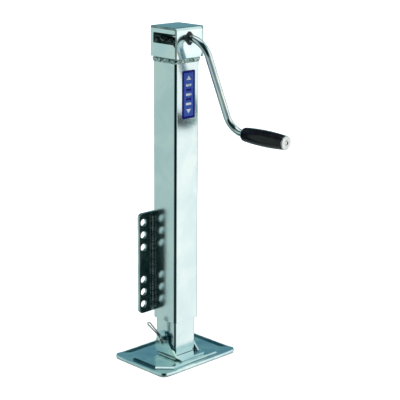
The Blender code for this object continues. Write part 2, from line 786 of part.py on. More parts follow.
def lead_screw_mesh(name):
    """Right-hand V thread between a stub for the stop collar and the gear's journal."""
    bm = bmesh.new()
    turns = round((THREAD_TOP_Z - THREAD_BOTTOM_Z) / THREAD_LEAD)
    steps = turns * STEPS_PER_TURN
    root = []
    crest = []
    for step in range(steps + STEPS_PER_TURN + 1):
        turn = step / STEPS_PER_TURN
        root.append(bm.verts.new(thread_point(THREAD_ROOT_R, turn, THREAD_BOTTOM_Z)))
        if step <= steps:
            middle_z = THREAD_BOTTOM_Z + THREAD_LEAD / 2
            crest.append(bm.verts.new(thread_point(THREAD_CREST_R, turn, middle_z)))
    for step in range(steps):
        over = step + STEPS_PER_TURN
        bm.faces.new((root[step], root[step + 1], crest[step + 1], crest[step]))
        bm.faces.new((crest[step], crest[step + 1], root[over + 1], root[over]))
    neck_r = THREAD_ROOT_R - 0.5 * MM
    shoulder_z = THREAD_BOTTOM_Z - 3.7 * MM
    bottom_rings = [
        (neck_r, THREAD_BOTTOM_Z - 1.0 * MM),
        (neck_r, shoulder_z),
        (STUB_R, shoulder_z),
        (STUB_R, shoulder_z - 9.3 * MM),
    ]
    top_z = THREAD_BOTTOM_Z + THREAD_LEAD * (turns + 1)
    top_rings = [
        (JOURNAL_R, top_z + 1.0 * MM),
        (JOURNAL_R, GEAR_BACK_Z - FIT_GAP),
        (STUB_R, GEAR_BACK_Z - FIT_GAP),
        (STUB_R, NUT_SEAT_Z + 6.5 * MM),
    ]
    end_faces(bm, root[: STEPS_PER_TURN + 1], crest[0], root[STEPS_PER_TURN], bottom_rings)
    end_faces(bm, root[steps:], crest[steps], root[-1], top_rings)
    bmesh.ops.recalc_face_normals(bm, faces=bm.faces)
    mesh = bpy.data.meshes.new(name)
    bm.to_mesh(mesh)
    bm.free()
    shade_round(mesh)
    return mesh


def screw_gear(pivot):
    seat_z = NUT_SEAT_Z - SHAFT_Z
    back_z = GEAR_BACK_Z - SHAFT_Z
    rings = [
        (11.6 * MM, seat_z),
        (STUB_R + FIT_GAP, seat_z),
        (STUB_R + FIT_GAP, back_z),
        (17.0 * MM, back_z),
    ]
    mesh = bevel_gear_mesh("screw_gear", GEAR_TEETH, PINION_TEETH, 0.0, rings)
    make_part(mesh, RAW_STEEL, pivot, (AXIS_X, 0.0, SHAFT_Z))


def gear_nut(pivot):
    thickness = 5.0 * MM
    corner_r = 10.8 * MM
    outlines = [
        circle_outline(0.0, 0.0, corner_r, 6),
        circle_outline(0.0, 0.0, STUB_R + FIT_GAP, 24),
    ]
    mesh = extruded_mesh("gear_nut", outlines, thickness)
    bottom_z = NUT_SEAT_Z + FIT_GAP
    make_part(mesh, ZINC, pivot, (AXIS_X, 0.0, bottom_z + thickness / 2))


def build_screw(housing):
    pivot = make_pivot("screw", (AXIS_X, 0.0, TUBE_TOP_Z), housing)
    make_part(lead_screw_mesh("lead_screw"), RAW_STEEL, pivot, (AXIS_X, 0.0, 0.0))
    screw_gear(pivot)
    gear_nut(pivot)
    race("upper_race", GEAR_BACK_Z - FIT_GAP - RACE_T, pivot)
    collar_h = 4.5 * MM
    collar = ring_mesh("screw_collar", JOURNAL_R + FIT_GAP, 13.0 * MM, collar_h)
    collar_top = TUBE_TOP_Z - 11.0 * MM
    make_part(collar, RAW_STEEL, pivot, (AXIS_X, 0.0, collar_top - collar_h / 2))
    stop_h = 6.0 * MM
    stop = ring_mesh("stop_collar", STUB_R + FIT_GAP, 14.0 * MM, stop_h)
    stop_top = THREAD_BOTTOM_Z - 4.0 * MM
    make_part(stop, RAW_STEEL, pivot, (AXIS_X, 0.0, stop_top - stop_h / 2))


def build_bearing_cage(housing):
    """Cage with its balls, which rolls at half the screw's speed between the races."""
    middle_z = TUBE_TOP_Z + RACE_T + BALL_R + 0.1 * MM
    pivot = make_pivot("bearing_cage", (AXIS_X, 0.0, middle_z), housing)
    mesh = ring_mesh("ball_cage", JOURNAL_R + 0.6 * MM, RACE_OUTER_R - 1.0 * MM, 1.8 * MM)
    cage = make_part(mesh, BEARING_STEEL, pivot, (AXIS_X, 0.0, middle_z))
    balls = bpy.data.meshes.new("cage_balls")
    bm = bmesh.new()
    for index in range(BALL_COUNT):
        turn = Matrix.Rotation(2.0 * math.pi * index / BALL_COUNT, 4, "Z")
        offset = Matrix.Translation((BALL_PITCH_R, 0.0, 0.0))
        bmesh.ops.create_uvsphere(
            bm, u_segments=8, v_segments=6, radius=BALL_R, matrix=turn @ offset
        )
    bm.to_mesh(balls)
    bm.free()
    combine(cage, balls, (AXIS_X, 0.0, middle_z), operation="UNION")


# Ram and foot

def lift_nut(pivot):
    half = RAM_HALF - RAM_WALL - FIT_GAP
    outlines = [
        rounded_rectangle(half, half, 2.0 * MM),
        circle_outline(0.0, 0.0, THREAD_CREST_R + FIT_GAP, 32),
    ]
    mesh = extruded_mesh("lift_nut", outlines, LIFT_NUT_H)
    make_part(mesh, BRONZE, pivot, (AXIS_X, 0.0, RAM_TOP_Z - LIFT_NUT_H / 2))


def clevis_hole(target, name):
    hole = rod_mesh(name, CLEVIS_R + FIT_GAP, 4 * RAM_HALF)
    combine(target, hole, (AXIS_X, 0.0, PIN_Z), ALONG_MINUS_Y)


def inner_tube(pivot):
    ram = square_tube(
        "inner_tube", RAM_HALF, RAM_WALL, RAM_CORNER_R, RAM_BOTTOM_Z, RAM_TOP_Z, pivot
    )
    clevis_hole(ram, "ram_pin_hole")


def foot_bracket(pivot):
    """Channel that straddles the ram: two ears round the pin and a web on the foot."""
    ear_half = 14.0 * MM
    ear_top = PIN_Z + ear_half
    corners = [
        (-16.0 * MM, WEB_BOTTOM_Z, 2.0 * MM),
        (50.0 * MM, WEB_BOTTOM_Z, 0.5 * MM),
        (50.0 * MM, WEB_TOP_Z, 0.5 * MM),
        (36.0 * MM, WEB_TOP_Z, 2.0 * MM),
        (ear_half, PIN_Z - 8.0 * MM, 3.0 * MM),
        (ear_half, ear_top, ear_half - 0.2 * MM),
        (-ear_half, ear_top, ear_half - 0.2 * MM),
        (-26.0 * MM, PIN_Z - 16.0 * MM, 6.0 * MM),
        (-26.0 * MM, PIN_Z - 25.0 * MM, 7.0 * MM),
    ]
    width = 2 * (EAR_INNER_Y + EAR_T)
    mesh = extruded_mesh("foot_bracket", [rounded_outline(corners, 8)], width)
    bracket = make_part(mesh, ZINC, pivot, (AXIS_X, 0.0, 0.0), ALONG_MINUS_Y)
    slot_h = 60.0 * MM
    slot = box_mesh("bracket_slot", (160.0 * MM, 2 * EAR_INNER_Y, slot_h))
    combine(bracket, slot, (AXIS_X, 0.0, WEB_TOP_Z + slot_h / 2))
    clevis_hole(bracket, "bracket_pin_hole")


def octagon_outline(half_x, half_y, chamfer, steps):
    """A rectangle with cut corners, with as many points as a rounded rectangle."""
    outline = []
    for sign_x, sign_y in ((1, 1), (-1, 1), (-1, -1), (1, -1)):
        on_y_side = Vector((sign_x * half_x, sign_y * (half_y - chamfer)))
        on_x_side = Vector((sign_x * (half_x - chamfer), sign_y * half_y))
        first, second = on_y_side, on_x_side
        if sign_x != sign_y:
            first, second = on_x_side, on_y_side
        for step in range(steps + 1):
            outline.append(first.lerp(second, step / steps))
    return outline


def with_side_points(outline, corner_points, side_points):
    """Adds points along an outline's four straight sides, closer together near corners."""
    places = [Vector((point[0], point[1])) for point in outline]
    result = []
    for corner in range(4):
        arc = places[corner * corner_points:(corner + 1) * corner_points]
        next_start = places[(corner + 1) * corner_points % len(places)]
        result.extend(arc)
        for step in range(1, side_points + 1):
            share = 0.5 - 0.5 * math.cos(math.pi * step / (side_points + 1))
            result.append(arc[-1].lerp(next_start, share))
    return result


def corner_curl(point):
    """How far the flange is turned up near the foot plate's corners."""
    corner_distance = math.hypot(FOOT_HALF_X - abs(point.x), FOOT_HALF_Y - abs(point.y))
    return FOOT_CURL * max(0.0, 1.0 - corner_distance / FOOT_CURL_REACH) ** 2


def foot_plate(pivot):
    """Pressed sheet: a flange turned slightly up round a raised eight-sided middle.

    The flange's four corners are turned up further.
    """
    steps = 5
    side_points = 7
    step_z = GROUND_Z + FOOT_T
    edge_z = step_z + FOOT_FLANGE_RISE
    top_z = step_z + FOOT_STEP_RISE
    step_x = FOOT_HALF_X - FOOT_FLANGE_W
    step_y = FOOT_HALF_Y - FOOT_FLANGE_W
    top_x = step_x - FOOT_STEP_RUN
    top_y = step_y - FOOT_STEP_RUN
    edge = rounded_rectangle(FOOT_HALF_X, FOOT_HALF_Y, FOOT_CORNER_R, steps)
    foot_of_step = octagon_outline(step_x, step_y, FOOT_CHAMFER, steps)
    top_of_step = octagon_outline(top_x, top_y, FOOT_CHAMFER - 1.5 * MM, steps)
    middle_z = (top_z + GROUND_Z) / 2
    mesh = bpy.data.meshes.new("foot_plate")
    bm = bmesh.new()
    rings = []
    for outline, z in ((edge, edge_z), (foot_of_step, step_z), (top_of_step, top_z)):
        ring = []
        for point in with_side_points(outline, steps + 1, side_points):
            ring.append(bm.verts.new((point.x, point.y, z + corner_curl(point) - middle_z)))
        rings.append(ring)
    for outer, inner in zip(rings, rings[1:]):
        for index in range(len(outer)):
            following = (index + 1) % len(outer)
            bm.faces.new((outer[index], outer[following], inner[following], inner[index]))
    bm.faces.new(rings[-1])
    bm.to_mesh(mesh)
    bm.free()
    plate = make_part(mesh, ZINC, pivot, (AXIS_X, 0.0, middle_z))
    sheet = plate.modifiers.new("sheet", "SOLIDIFY")
    sheet.thickness = FOOT_T
    sheet.offset = -1.0


def foot_welds(pivot):
    """Beads that hold the bracket's web to the foot plate."""
    bead_r = 2.2 * MM
    bead_y = EAR_INNER_Y + EAR_T + FIT_GAP + bead_r
    bead_z = WEB_BOTTOM_Z + bead_r
    length = 50.0 * MM
    for name, side in (("foot_weld_left", -1), ("foot_weld_right", 1)):
        mesh = rod_mesh(name, bead_r, length, segments=10)
        make_part(mesh, DARK_ZINC, pivot, (AXIS_X + 12.0 * MM, side * bead_y, bead_z), ALONG_X)


def clip_direction():
    """The way the hairpin clip pulls out: up and towards the plate's side."""
    return Vector((-math.sin(CLIP_LEAN), 0.0, math.cos(CLIP_LEAN)))


def clip_side():
    return Vector((math.cos(CLIP_LEAN), 0.0, math.sin(CLIP_LEAN)))


def clevis_pin(pivot):
    """Headed pin through the ears and the ram, cross-drilled for the clip."""
    tip = 46.5 * MM
    neck = 2.0 * MM
    head_start = -(EAR_INNER_Y + EAR_T + FIT_GAP)
    head_t = 4.0 * MM
    head_r = 8.0 * MM
    profile = [
        (0.0, tip),
        (CLEVIS_R * 0.6, tip - 0.5 * MM),
        (CLEVIS_R, tip - neck),
        (CLEVIS_R, head_start),
        (head_r, head_start),
        (head_r, head_start - head_t + 0.8 * MM),
        (head_r - 0.8 * MM, head_start - head_t),
        (0.0, head_start - head_t),
    ]
    mesh = turned_mesh("clevis_pin", profile, steps=24)
    pin = make_part(mesh, ZINC, pivot, (AXIS_X, 0.0, PIN_Z), ALONG_MINUS_Y)
    hole = rod_mesh("pin_cross_hole", CLIP_WIRE_R + FIT_GAP, 4 * CLEVIS_R, segments=12)
    combine(pin, hole, (AXIS_X, CLIP_Y, PIN_Z), (0.0, -CLIP_LEAN, 0.0))


def clip_point(place):
    """From (along, across) to space: beyond the pin the clip is bent away from the ram."""
    bend = CLIP_BEND_SLOPE * max(0.0, place.x - CLIP_BEND_START)
    point = clip_direction() * place.x + clip_side() * place.y
    return point + Vector((0.0, -bend, 0.0))


def clip_path():
    """The clip's wire, as (along, across) places about the clevis pin's middle."""
    gap = 7.4 * MM
    loop_r = 4.2 * MM
    leg_top = 35.0 * MM
    path = [
        Vector((-11.0 * MM, 0.0)),
        Vector((0.0, 0.0)),
        Vector((CLIP_BEND_START, 0.0)),
        Vector((leg_top - 8.0 * MM, 0.0)),
    ]
    loop_middle = Vector((leg_top, gap / 2))
    loop_steps = 14
    for step in range(loop_steps + 1):
        angle = math.radians(-120.0 + 240.0 * step / loop_steps)
        path.append(loop_middle + Vector((math.cos(angle), math.sin(angle))) * loop_r)
    bulge = CLEVIS_R + CLIP_WIRE_R + 0.5 * MM
    pinch = Vector((12.0 * MM, 4.4 * MM))
    path.append(Vector((leg_top - 8.0 * MM, gap - 1.0 * MM)))
    path.append(pinch)
    path.append(Vector((6.5 * MM, 5.6 * MM)))
    path.append(Vector((1.5 * MM, bulge)))
    path.append(Vector((-4.0 * MM, bulge + 0.3 * MM)))
    path.append(Vector((-9.0 * MM, bulge + 2.8 * MM)))
    return path


def build_clip(ram):
    """Hairpin clip: one leg through the pin, the other sprung against its side."""
    pin_place = Vector((AXIS_X, CLIP_Y, PIN_Z))
    pivot = make_pivot("clip", pin_place, ram)
    path = [clip_point(place) for place in clip_path()]
    mesh = swept_mesh("hairpin_clip", path, CLIP_WIRE_R)
    make_part(mesh, ZINC, pivot, pin_place)


def build_ram(housing):
    pivot = make_pivot("ram", (AXIS_X, 0.0, RAM_BOTTOM_Z), housing)
    inner_tube(pivot)
    lift_nut(pivot)
    foot_bracket(pivot)
    foot_plate(pivot)
    foot_welds(pivot)
    clevis_pin(pivot)
    return pivot


def main():
    clear_scene()
    build_housing()
    housing = bpy.data.objects["housing"]
    crank = build_crank(housing)
    build_grip(crank)
    build_screw(housing)
    build_bearing_cage(housing)
    ram = build_ram(housing)
    build_clip(ram)


main()
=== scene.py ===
"""The trailer tongue jack's looks: bright zinc-plated steel, a black grip and a blue label.

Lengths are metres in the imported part's frame: +Z up the screw, +X to the crank side,
-Y to the grease window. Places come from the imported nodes' boxes and joints.
"""

import json
import math

import bmesh
import bpy
from mathutils import Matrix, Vector, noise


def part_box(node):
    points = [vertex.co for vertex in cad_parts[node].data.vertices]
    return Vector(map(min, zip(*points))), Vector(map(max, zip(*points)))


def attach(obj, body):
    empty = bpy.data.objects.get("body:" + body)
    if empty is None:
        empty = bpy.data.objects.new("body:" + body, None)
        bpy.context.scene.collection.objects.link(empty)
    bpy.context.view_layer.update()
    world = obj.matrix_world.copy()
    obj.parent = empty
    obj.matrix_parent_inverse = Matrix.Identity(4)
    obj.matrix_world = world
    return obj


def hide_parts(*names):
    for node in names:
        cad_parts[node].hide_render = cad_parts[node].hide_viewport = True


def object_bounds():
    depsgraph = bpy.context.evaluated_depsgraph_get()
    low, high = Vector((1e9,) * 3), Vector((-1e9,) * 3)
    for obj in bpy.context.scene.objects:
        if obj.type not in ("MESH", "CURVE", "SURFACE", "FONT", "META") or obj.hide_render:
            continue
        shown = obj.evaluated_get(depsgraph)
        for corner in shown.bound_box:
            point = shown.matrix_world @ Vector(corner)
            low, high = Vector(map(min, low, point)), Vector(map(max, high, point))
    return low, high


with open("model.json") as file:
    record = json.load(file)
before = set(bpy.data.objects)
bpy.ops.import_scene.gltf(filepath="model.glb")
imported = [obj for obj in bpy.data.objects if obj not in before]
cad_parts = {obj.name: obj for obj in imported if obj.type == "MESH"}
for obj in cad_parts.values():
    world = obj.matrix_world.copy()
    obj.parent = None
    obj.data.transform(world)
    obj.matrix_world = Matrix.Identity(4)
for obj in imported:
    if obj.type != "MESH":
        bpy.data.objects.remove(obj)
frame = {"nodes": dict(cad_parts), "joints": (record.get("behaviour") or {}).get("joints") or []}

CAD_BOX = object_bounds()
MM = 0.001
JOINTS = {joint["name"]: joint for joint in frame["joints"]}

TUBE_LOW, TUBE_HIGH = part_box("outer_tube")
AXIS_X = (TUBE_LOW.x + TUBE_HIGH.x) / 2
TUBE_HALF = (TUBE_HIGH.y - TUBE_LOW.y) / 2
HEAD_LOW, HEAD_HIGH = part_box("gear_housing")
HEAD_HALF = (HEAD_HIGH.x - HEAD_LOW.x) / 2
HEAD_SHEET = 4.35 * MM
TUBE_CORNER_R = 6.0 * MM
SHAFT = Vector(JOINTS["crank_turn"]["pos_m"])
GRIP = Vector(JOINTS["grip_spin"]["pos_m"])
ROD_R = 7.0 * MM
ROD_BORE_R = 7.3 * MM
CLEVIS_R = 5.25 * MM
CLEVIS_HOLE_R = 5.55 * MM
CLIP_WIRE_R = 1.35 * MM
# How far a round cutter reaches to each side, the flat cap that closes a turned piece
# on its axis, and the angle in degrees from which an edge stays sharp
CUTTER_REACH = 60.0 * MM
AXIS_CAP_R = 0.05 * MM
SHARP_ANGLE = 32.0
ALONG_X = Matrix.Rotation(math.pi / 2, 4, "Y")
ALONG_MINUS_Y = Matrix.Rotation(math.pi / 2, 4, "X")


# Mesh helpers

def added(name, data):
    """A new object in the scene."""
    obj = bpy.data.objects.new(name, data)
    bpy.context.scene.collection.objects.link(obj)
    return obj


def new_piece(name, mesh, body, materials, replaced, sharp_angle=SHARP_ANGLE):
    """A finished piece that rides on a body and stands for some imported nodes."""
    mesh.name = name
    mesh.materials.clear()
    for material in materials:
        mesh.materials.append(material)
    mesh.shade_smooth()
    mesh.set_sharp_from_angle(angle=math.radians(sharp_angle))
    obj = added(name, mesh)
    weighted = obj.modifiers.new("flat_faces_stay_flat", "WEIGHTED_NORMAL")
    weighted.keep_sharp = True
    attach(obj, body)
    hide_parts(*replaced)
    return obj


def mesh_from(bm, matrix=Matrix.Identity(4)):
    bmesh.ops.recalc_face_normals(bm, faces=bm.faces)
    mesh = bpy.data.meshes.new("shape")
    bm.to_mesh(mesh)
    bm.free()
    mesh.transform(matrix)
    return mesh


def skin(bm, circles):
    """Quads between rings of vertices that have equal lengths."""
    for lower, upper in zip(circles, circles[1:]):
        for index in range(len(lower)):
            after = (index + 1) % len(lower)
            bm.faces.new((lower[index], lower[after], upper[after], upper[index]))


def loft(rings, wrap=False):
    """A skin over rings of points, capped at both ends or closed into a loop."""
    bm = bmesh.new()
    circles = [[bm.verts.new(point) for point in ring] for ring in rings]
    if wrap:
        circles.append(circles[0])
    else:
        bm.faces.new(circles[0])
        bm.faces.new(circles[-1])
    skin(bm, circles)
    return bm


def extruded(outline, depth, matrix):
    """A solid with a flat outline, centred on the outline's plane."""
    rings = []
    for side in (-1, 1):
        rings.append([Vector((p.x, p.y, side * depth / 2)) for p in outline])
    return mesh_from(loft(rings), matrix)


def block(size, matrix):
    """A box, used as a cutter."""
    bm = bmesh.new()
    bmesh.ops.create_cube(bm, size=1.0, matrix=Matrix.Diagonal((*size, 1.0)))
    return mesh_from(bm, matrix)


def turned(profile, segments=48, wrap=False):
    """Turn (radius, z) points about Z. A profile's open ends are closed by flat caps."""
    rings = []
    for radius, z in profile:
        ring = []
        for step in range(segments):
            angle = 2.0 * math.pi * step / segments
            ring.append(Vector((radius * math.cos(angle), radius * math.sin(angle), z)))
        rings.append(ring)
    return loft(rings, wrap)


def drill(radius, place, turn, sides=48, reach=CUTTER_REACH):
    """A round cutter through a place."""
    return mesh_from(turned([(radius, -reach), (radius, reach)], sides), Matrix.Translation(place) @ turn)


def arc(centre_r, centre_z, radius, start, end, steps):
    """Profile points along an arc between two angles in degrees."""
    points = []
    for step in range(steps + 1):
        angle = math.radians(start + (end - start) * step / steps)
        points.append((centre_r + radius * math.cos(angle), centre_z + radius * math.sin(angle)))
    return points


def smooth(share):
    """Eases a 0 to 1 share at both ends."""
    return share * share * (3.0 - 2.0 * share)


def swept(path, radius_at, sides):
    """A round bar along a path; radius_at takes the distance from each end."""
    lengths = [0.0]
    for start, end in zip(path, path[1:]):
        lengths.append(lengths[-1] + (end - start).length)
    tangent = (path[1] - path[0]).normalized()
    side = tangent.orthogonal().normalized()
    rings = []
    for index, point in enumerate(path):
        before = path[max(index - 1, 0)]
        after = path[min(index + 1, len(path) - 1)]
        new_tangent = (after - before).normalized()
        side = tangent.rotation_difference(new_tangent) @ side
        tangent = new_tangent
        up = tangent.cross(side)
        radius = radius_at(lengths[index], lengths[-1] - lengths[index])
        ring = []
        for step in range(sides):
            angle = 2.0 * math.pi * step / sides
            ring.append(point + (side * math.cos(angle) + up * math.sin(angle)) * radius)
        rings.append(ring)
    return loft(rings)


def fillet(before, corner, after, radius, steps):
    """Points of the arc that rounds one corner of a path or outline."""
    to_before = (before - corner).normalized()
    to_after = (after - corner).normalized()
    half_angle = to_before.angle(to_after) / 2
    middle = (to_before + to_after).normalized()
    centre = corner + middle * (radius / math.sin(half_angle))
    start = corner + to_before * (radius / math.tan(half_angle)) - centre
    end = corner + to_after * (radius / math.tan(half_angle)) - centre
    sweep = start.angle(end)
    points = []
    for step in range(steps + 1):
        share = step / steps
        first = math.sin((1.0 - share) * sweep) / math.sin(sweep)
        second = math.sin(share * sweep) / math.sin(sweep)
        points.append(centre + start * first + end * second)
    return points


def rounded_outline(corners, steps=8):
    """A closed outline from (x, y, corner radius) corners."""
    places = [Vector((x, y, 0.0)) for x, y, _ in corners]
    outline = []
    for index, (_, _, radius) in enumerate(corners):
        if radius > 0.0:
            after = places[(index + 1) % len(places)]
            outline.extend(fillet(places[index - 1], places[index], after, radius, steps))
        else:
            outline.append(places[index])
    return outline


def rounded_rectangle(half_x, half_y, radius, steps=8):
    corners = []
    for x, y in ((half_x, half_y), (-half_x, half_y), (-half_x, -half_y), (half_x, -half_y)):
        corners.append((x, y, radius))
    return rounded_outline(corners, steps)


def circle(x, y, radius, steps=32):
    angles = [2.0 * math.pi * step / steps for step in range(steps)]
    return [Vector((x + radius * math.cos(a), y + radius * math.sin(a), 0.0)) for a in angles]


def sheet(outlines, thickness, edge=0.5 * MM):
    """A flat piece in the XY plane with rounded edges, also round its holes."""
    curve = bpy.data.curves.new("sheet", "CURVE")
    curve.dimensions = "2D"
    curve.fill_mode = "BOTH"
    curve.extrude = thickness / 2 - edge
    curve.bevel_depth = edge
    curve.bevel_resolution = 2
    curve.offset = -edge
    for outline in outlines:
        spline = curve.splines.new("POLY")
        spline.points.add(len(outline) - 1)
        spline.use_cyclic_u = True
        for point, place in zip(spline.points, outline):
            point.co = (place.x, place.y, 0.0, 1.0)
    obj = bpy.data.objects.new("sheet", curve)
    mesh = evaluated(obj)
    bm = bmesh.new()
    bm.from_mesh(mesh)
    bmesh.ops.remove_doubles(bm, verts=bm.verts, dist=0.005 * MM)
    return bm


def evaluated(obj):
    """The object's final mesh; the object itself is removed."""
    bpy.context.scene.collection.objects.link(obj)
    depsgraph = bpy.context.evaluated_depsgraph_get()
    mesh = bpy.data.meshes.new_from_object(obj.evaluated_get(depsgraph))
    bpy.data.objects.remove(obj, do_unlink=True)
    return mesh


def combined(mesh, tools, edge=0.0):
    """The mesh after Boolean steps [(tool mesh, operation)], with its edges rounded."""
    obj = bpy.data.objects.new("base", mesh)
    helpers = []
    for tool_mesh, operation in tools:
        tool = added("tool", tool_mesh)
        helpers.append(tool)
        modifier = obj.modifiers.new("combine", "BOOLEAN")
        modifier.operation = operation
        modifier.object = tool
        modifier.solver = "EXACT"
    if edge > 0.0:
        weld = obj.modifiers.new("weld", "WELD")
        weld.merge_threshold = 0.02 * MM
        bevel = obj.modifiers.new("edges", "BEVEL")
        bevel.width = edge
        bevel.segments = 3
        bevel.limit_method = "ANGLE"
        bevel.angle_limit = math.radians(40.0)
    result = evaluated(obj)
    for tool in helpers:
        bpy.data.objects.remove(tool, do_unlink=True)
    return result


# Material helpers

class Shader:
    """A Principled material with a few ways to add procedural detail to it."""

    def __init__(self, name, metallic=0.0):
        self.material = bpy.data.materials.new(name)
        self.material.use_nodes = True
        self.tree = self.material.node_tree
        self.principled = self.tree.nodes["Principled BSDF"]
        self.principled.inputs["Metallic"].default_value = metallic
        self.coords = self.tree.nodes.new("ShaderNodeTexCoord").outputs["Object"]
        self.normal = None

    def link(self, output, node, name):
        self.tree.links.new(output, node.inputs[name])

    def noise(self, scale, detail, stretch=(1.0, 1.0, 1.0), roughness=0.5, twist=0.0):
        mapping = self.tree.nodes.new("ShaderNodeMapping")
        mapping.inputs["Scale"].default_value = stretch
        self.link(self.coords, mapping, "Vector")
        texture = self.tree.nodes.new("ShaderNodeTexNoise")
        texture.inputs["Scale"].default_value = scale
        texture.inputs["Detail"].default_value = detail
        texture.inputs["Roughness"].default_value = roughness
        texture.inputs["Distortion"].default_value = twist
        self.link(mapping.outputs["Vector"], texture, "Vector")
        return texture.outputs["Fac"]

    def cells(self, scale):
        texture = self.tree.nodes.new("ShaderNodeTexVoronoi")
        texture.inputs["Scale"].default_value = scale
        self.link(self.coords, texture, "Vector")
        return texture.outputs["Color"]

    def ramp(self, value, stops):
        node = self.tree.nodes.new("ShaderNodeValToRGB")
        elements = node.color_ramp.elements
        while len(elements) < len(stops):
            elements.new(0.5)
        for element, (position, color) in zip(elements, stops):
            element.position = position
            element.color = (*color, 1.0)
        self.link(value, node, "Fac")
        return node.outputs["Color"]

    def remap(self, value, low, high, from_low=0.3, from_high=0.7):
        node = self.tree.nodes.new("ShaderNodeMapRange")
        node.inputs["From Min"].default_value = from_low
        node.inputs["From Max"].default_value = from_high
        node.inputs["To Min"].default_value = low
        node.inputs["To Max"].default_value = high
        self.link(value, node, "Value")
        return node.outputs["Result"]

    def mix(self, share, first, second, blend="MIX"):
        node = self.tree.nodes.new("ShaderNodeMixRGB")
        node.blend_type = blend
        if isinstance(share, float):
            node.inputs["Fac"].default_value = share
        else:
            self.link(share, node, "Fac")
        for name, color in (("Color1", first), ("Color2", second)):
            if isinstance(color, tuple):
                node.inputs[name].default_value = (*color, 1.0)
            else:
                self.link(color, node, name)
        return node.outputs["Color"]

    def bump(self, height, strength, distance):
        node = self.tree.nodes.new("ShaderNodeBump")
        node.inputs["Strength"].default_value = strength
        node.inputs["Distance"].default_value = distance
        self.link(height, node, "Height")
        if self.normal is not None:
            self.link(self.normal, node, "Normal")
        self.normal = node.outputs["Normal"]
        self.link(self.normal, self.principled, "Normal")

    def color(self, output):
        self.link(output, self.principled, "Base Color")

    def rough(self, output):
        self.link(output, self.principled, "Roughness")


def zinc(name, low, high, rough, streak=(1.0, 1.0, 1.0), wave=0.25, clouds=14.0):
    """Bright zinc plate: clouded blue to straw tint, drawn streaks and a faint waviness."""
    shader = Shader(name, metallic=1.0)
    middle = tuple((a + b) / 2 for a, b in zip(low, high))
    straw = (high[0], high[1] * 0.985, high[2] * 0.93)
    cloud = shader.noise(clouds, 4.0, twist=0.6)
    tint = shader.ramp(cloud, [(0.30, low), (0.50, middle), (0.62, high), (0.75, straw)])
    spangle = shader.cells(420.0)
    tint = shader.mix(0.035, tint, spangle, "OVERLAY")
    shader.color(tint)
    lines = shader.noise(340.0, 4.0, stretch=streak, roughness=0.6)
    smears = shader.noise(22.0, 5.0, roughness=0.65)
    level = shader.mix(0.5, lines, smears)
    shader.rough(shader.remap(level, rough[0], rough[1]))
    shader.bump(shader.noise(7.0, 2.0), wave, 1.2 * MM)
    shader.bump(lines, 0.05, 0.12 * MM)
    pits = shader.remap(shader.noise(900.0, 2.0), 0.0, 1.0, 0.70, 0.78)
    shader.bump(pits, 0.10, 0.05 * MM)
    return shader.material


def weld_metal(name, level):
    """Plated weld: cloudy grey-green with spatter-like grain; every tone is scaled by its level, and a
    level below one is painted shade.
    """
    shader = Shader(name, metallic=1.0)
    cloud = shader.noise(110.0, 5.0, twist=1.2)
    tones = [
        (0.32, (0.10, 0.17, 0.16)),
        (0.44, (0.36, 0.48, 0.45)),
        (0.54, (0.74, 0.82, 0.78)),
        (0.66, (0.30, 0.42, 0.42)),
    ]
    stops = [(place, tuple(level * channel for channel in color)) for place, color in tones]
    shader.color(shader.ramp(cloud, stops))
    shader.rough(shader.remap(shader.noise(260.0, 4.0), 0.12, 0.38))
    shader.bump(shader.noise(230.0, 3.0), 0.5, 0.6 * MM)
    shader.bump(shader.noise(700.0, 3.0), 0.3, 0.2 * MM)
    return shader.material


def machined_steel(name, tint, grease):
    """Turned or cut steel under an uneven film of amber grease."""
    shader = Shader(name, metallic=1.0)
    film = shader.remap(shader.noise(60.0, 4.0, twist=0.8), 0.0, 0.8, 0.50, 0.68)
    tone = shader.mix(film, tint, grease)
    shader.color(tone)
    lines = shader.noise(500.0, 3.0, stretch=(1.0, 1.0, 6.0))
    shader.rough(shader.remap(lines, 0.14, 0.32))
    shader.bump(lines, 0.08, 0.1 * MM)
    return shader.material


def bright_steel():
    """Ground steel: nearly a mirror, with fine turning marks."""
    shader = Shader("bright_steel", metallic=1.0)
    stops = [(0.35, (0.66, 0.66, 0.65)), (0.65, (0.82, 0.82, 0.80))]
    shader.color(shader.ramp(shader.noise(90.0, 3.0), stops))
    lines = shader.noise(700.0, 2.0, stretch=(4.0, 1.0, 1.0))
    shader.rough(shader.remap(lines, 0.10, 0.26))
    shader.bump(lines, 0.06, 0.06 * MM)
    return shader.material


def gloss_plastic():
    """Moulded black plastic: glossy, with handling smears and fine orange peel."""
    shader = Shader("grip_plastic")
    stops = [(0.35, (0.002, 0.002, 0.003)), (0.70, (0.006, 0.006, 0.008))]
    shader.color(shader.ramp(shader.noise(45.0, 4.0), stops))
    shader.rough(shader.remap(shader.noise(110.0, 5.0, roughness=0.65), 0.10, 0.22))
    shader.principled.inputs["Specular IOR Level"].default_value = 0.35
    shader.bump(shader.noise(650.0, 2.0), 0.05, 0.08 * MM)
    return shader.material


def matte_nylon():
    """Moulded nylon bushing: dull black with a fine grain."""
    shader = Shader("bushing_nylon")
    stops = [(0.35, (0.010, 0.010, 0.011)), (0.70, (0.026, 0.026, 0.028))]
    shader.color(shader.ramp(shader.noise(120.0, 4.0), stops))
    shader.rough(shader.remap(shader.noise(300.0, 3.0), 0.38, 0.58))
    shader.bump(shader.noise(1200.0, 2.0), 0.25, 0.08 * MM)
    return shader.material


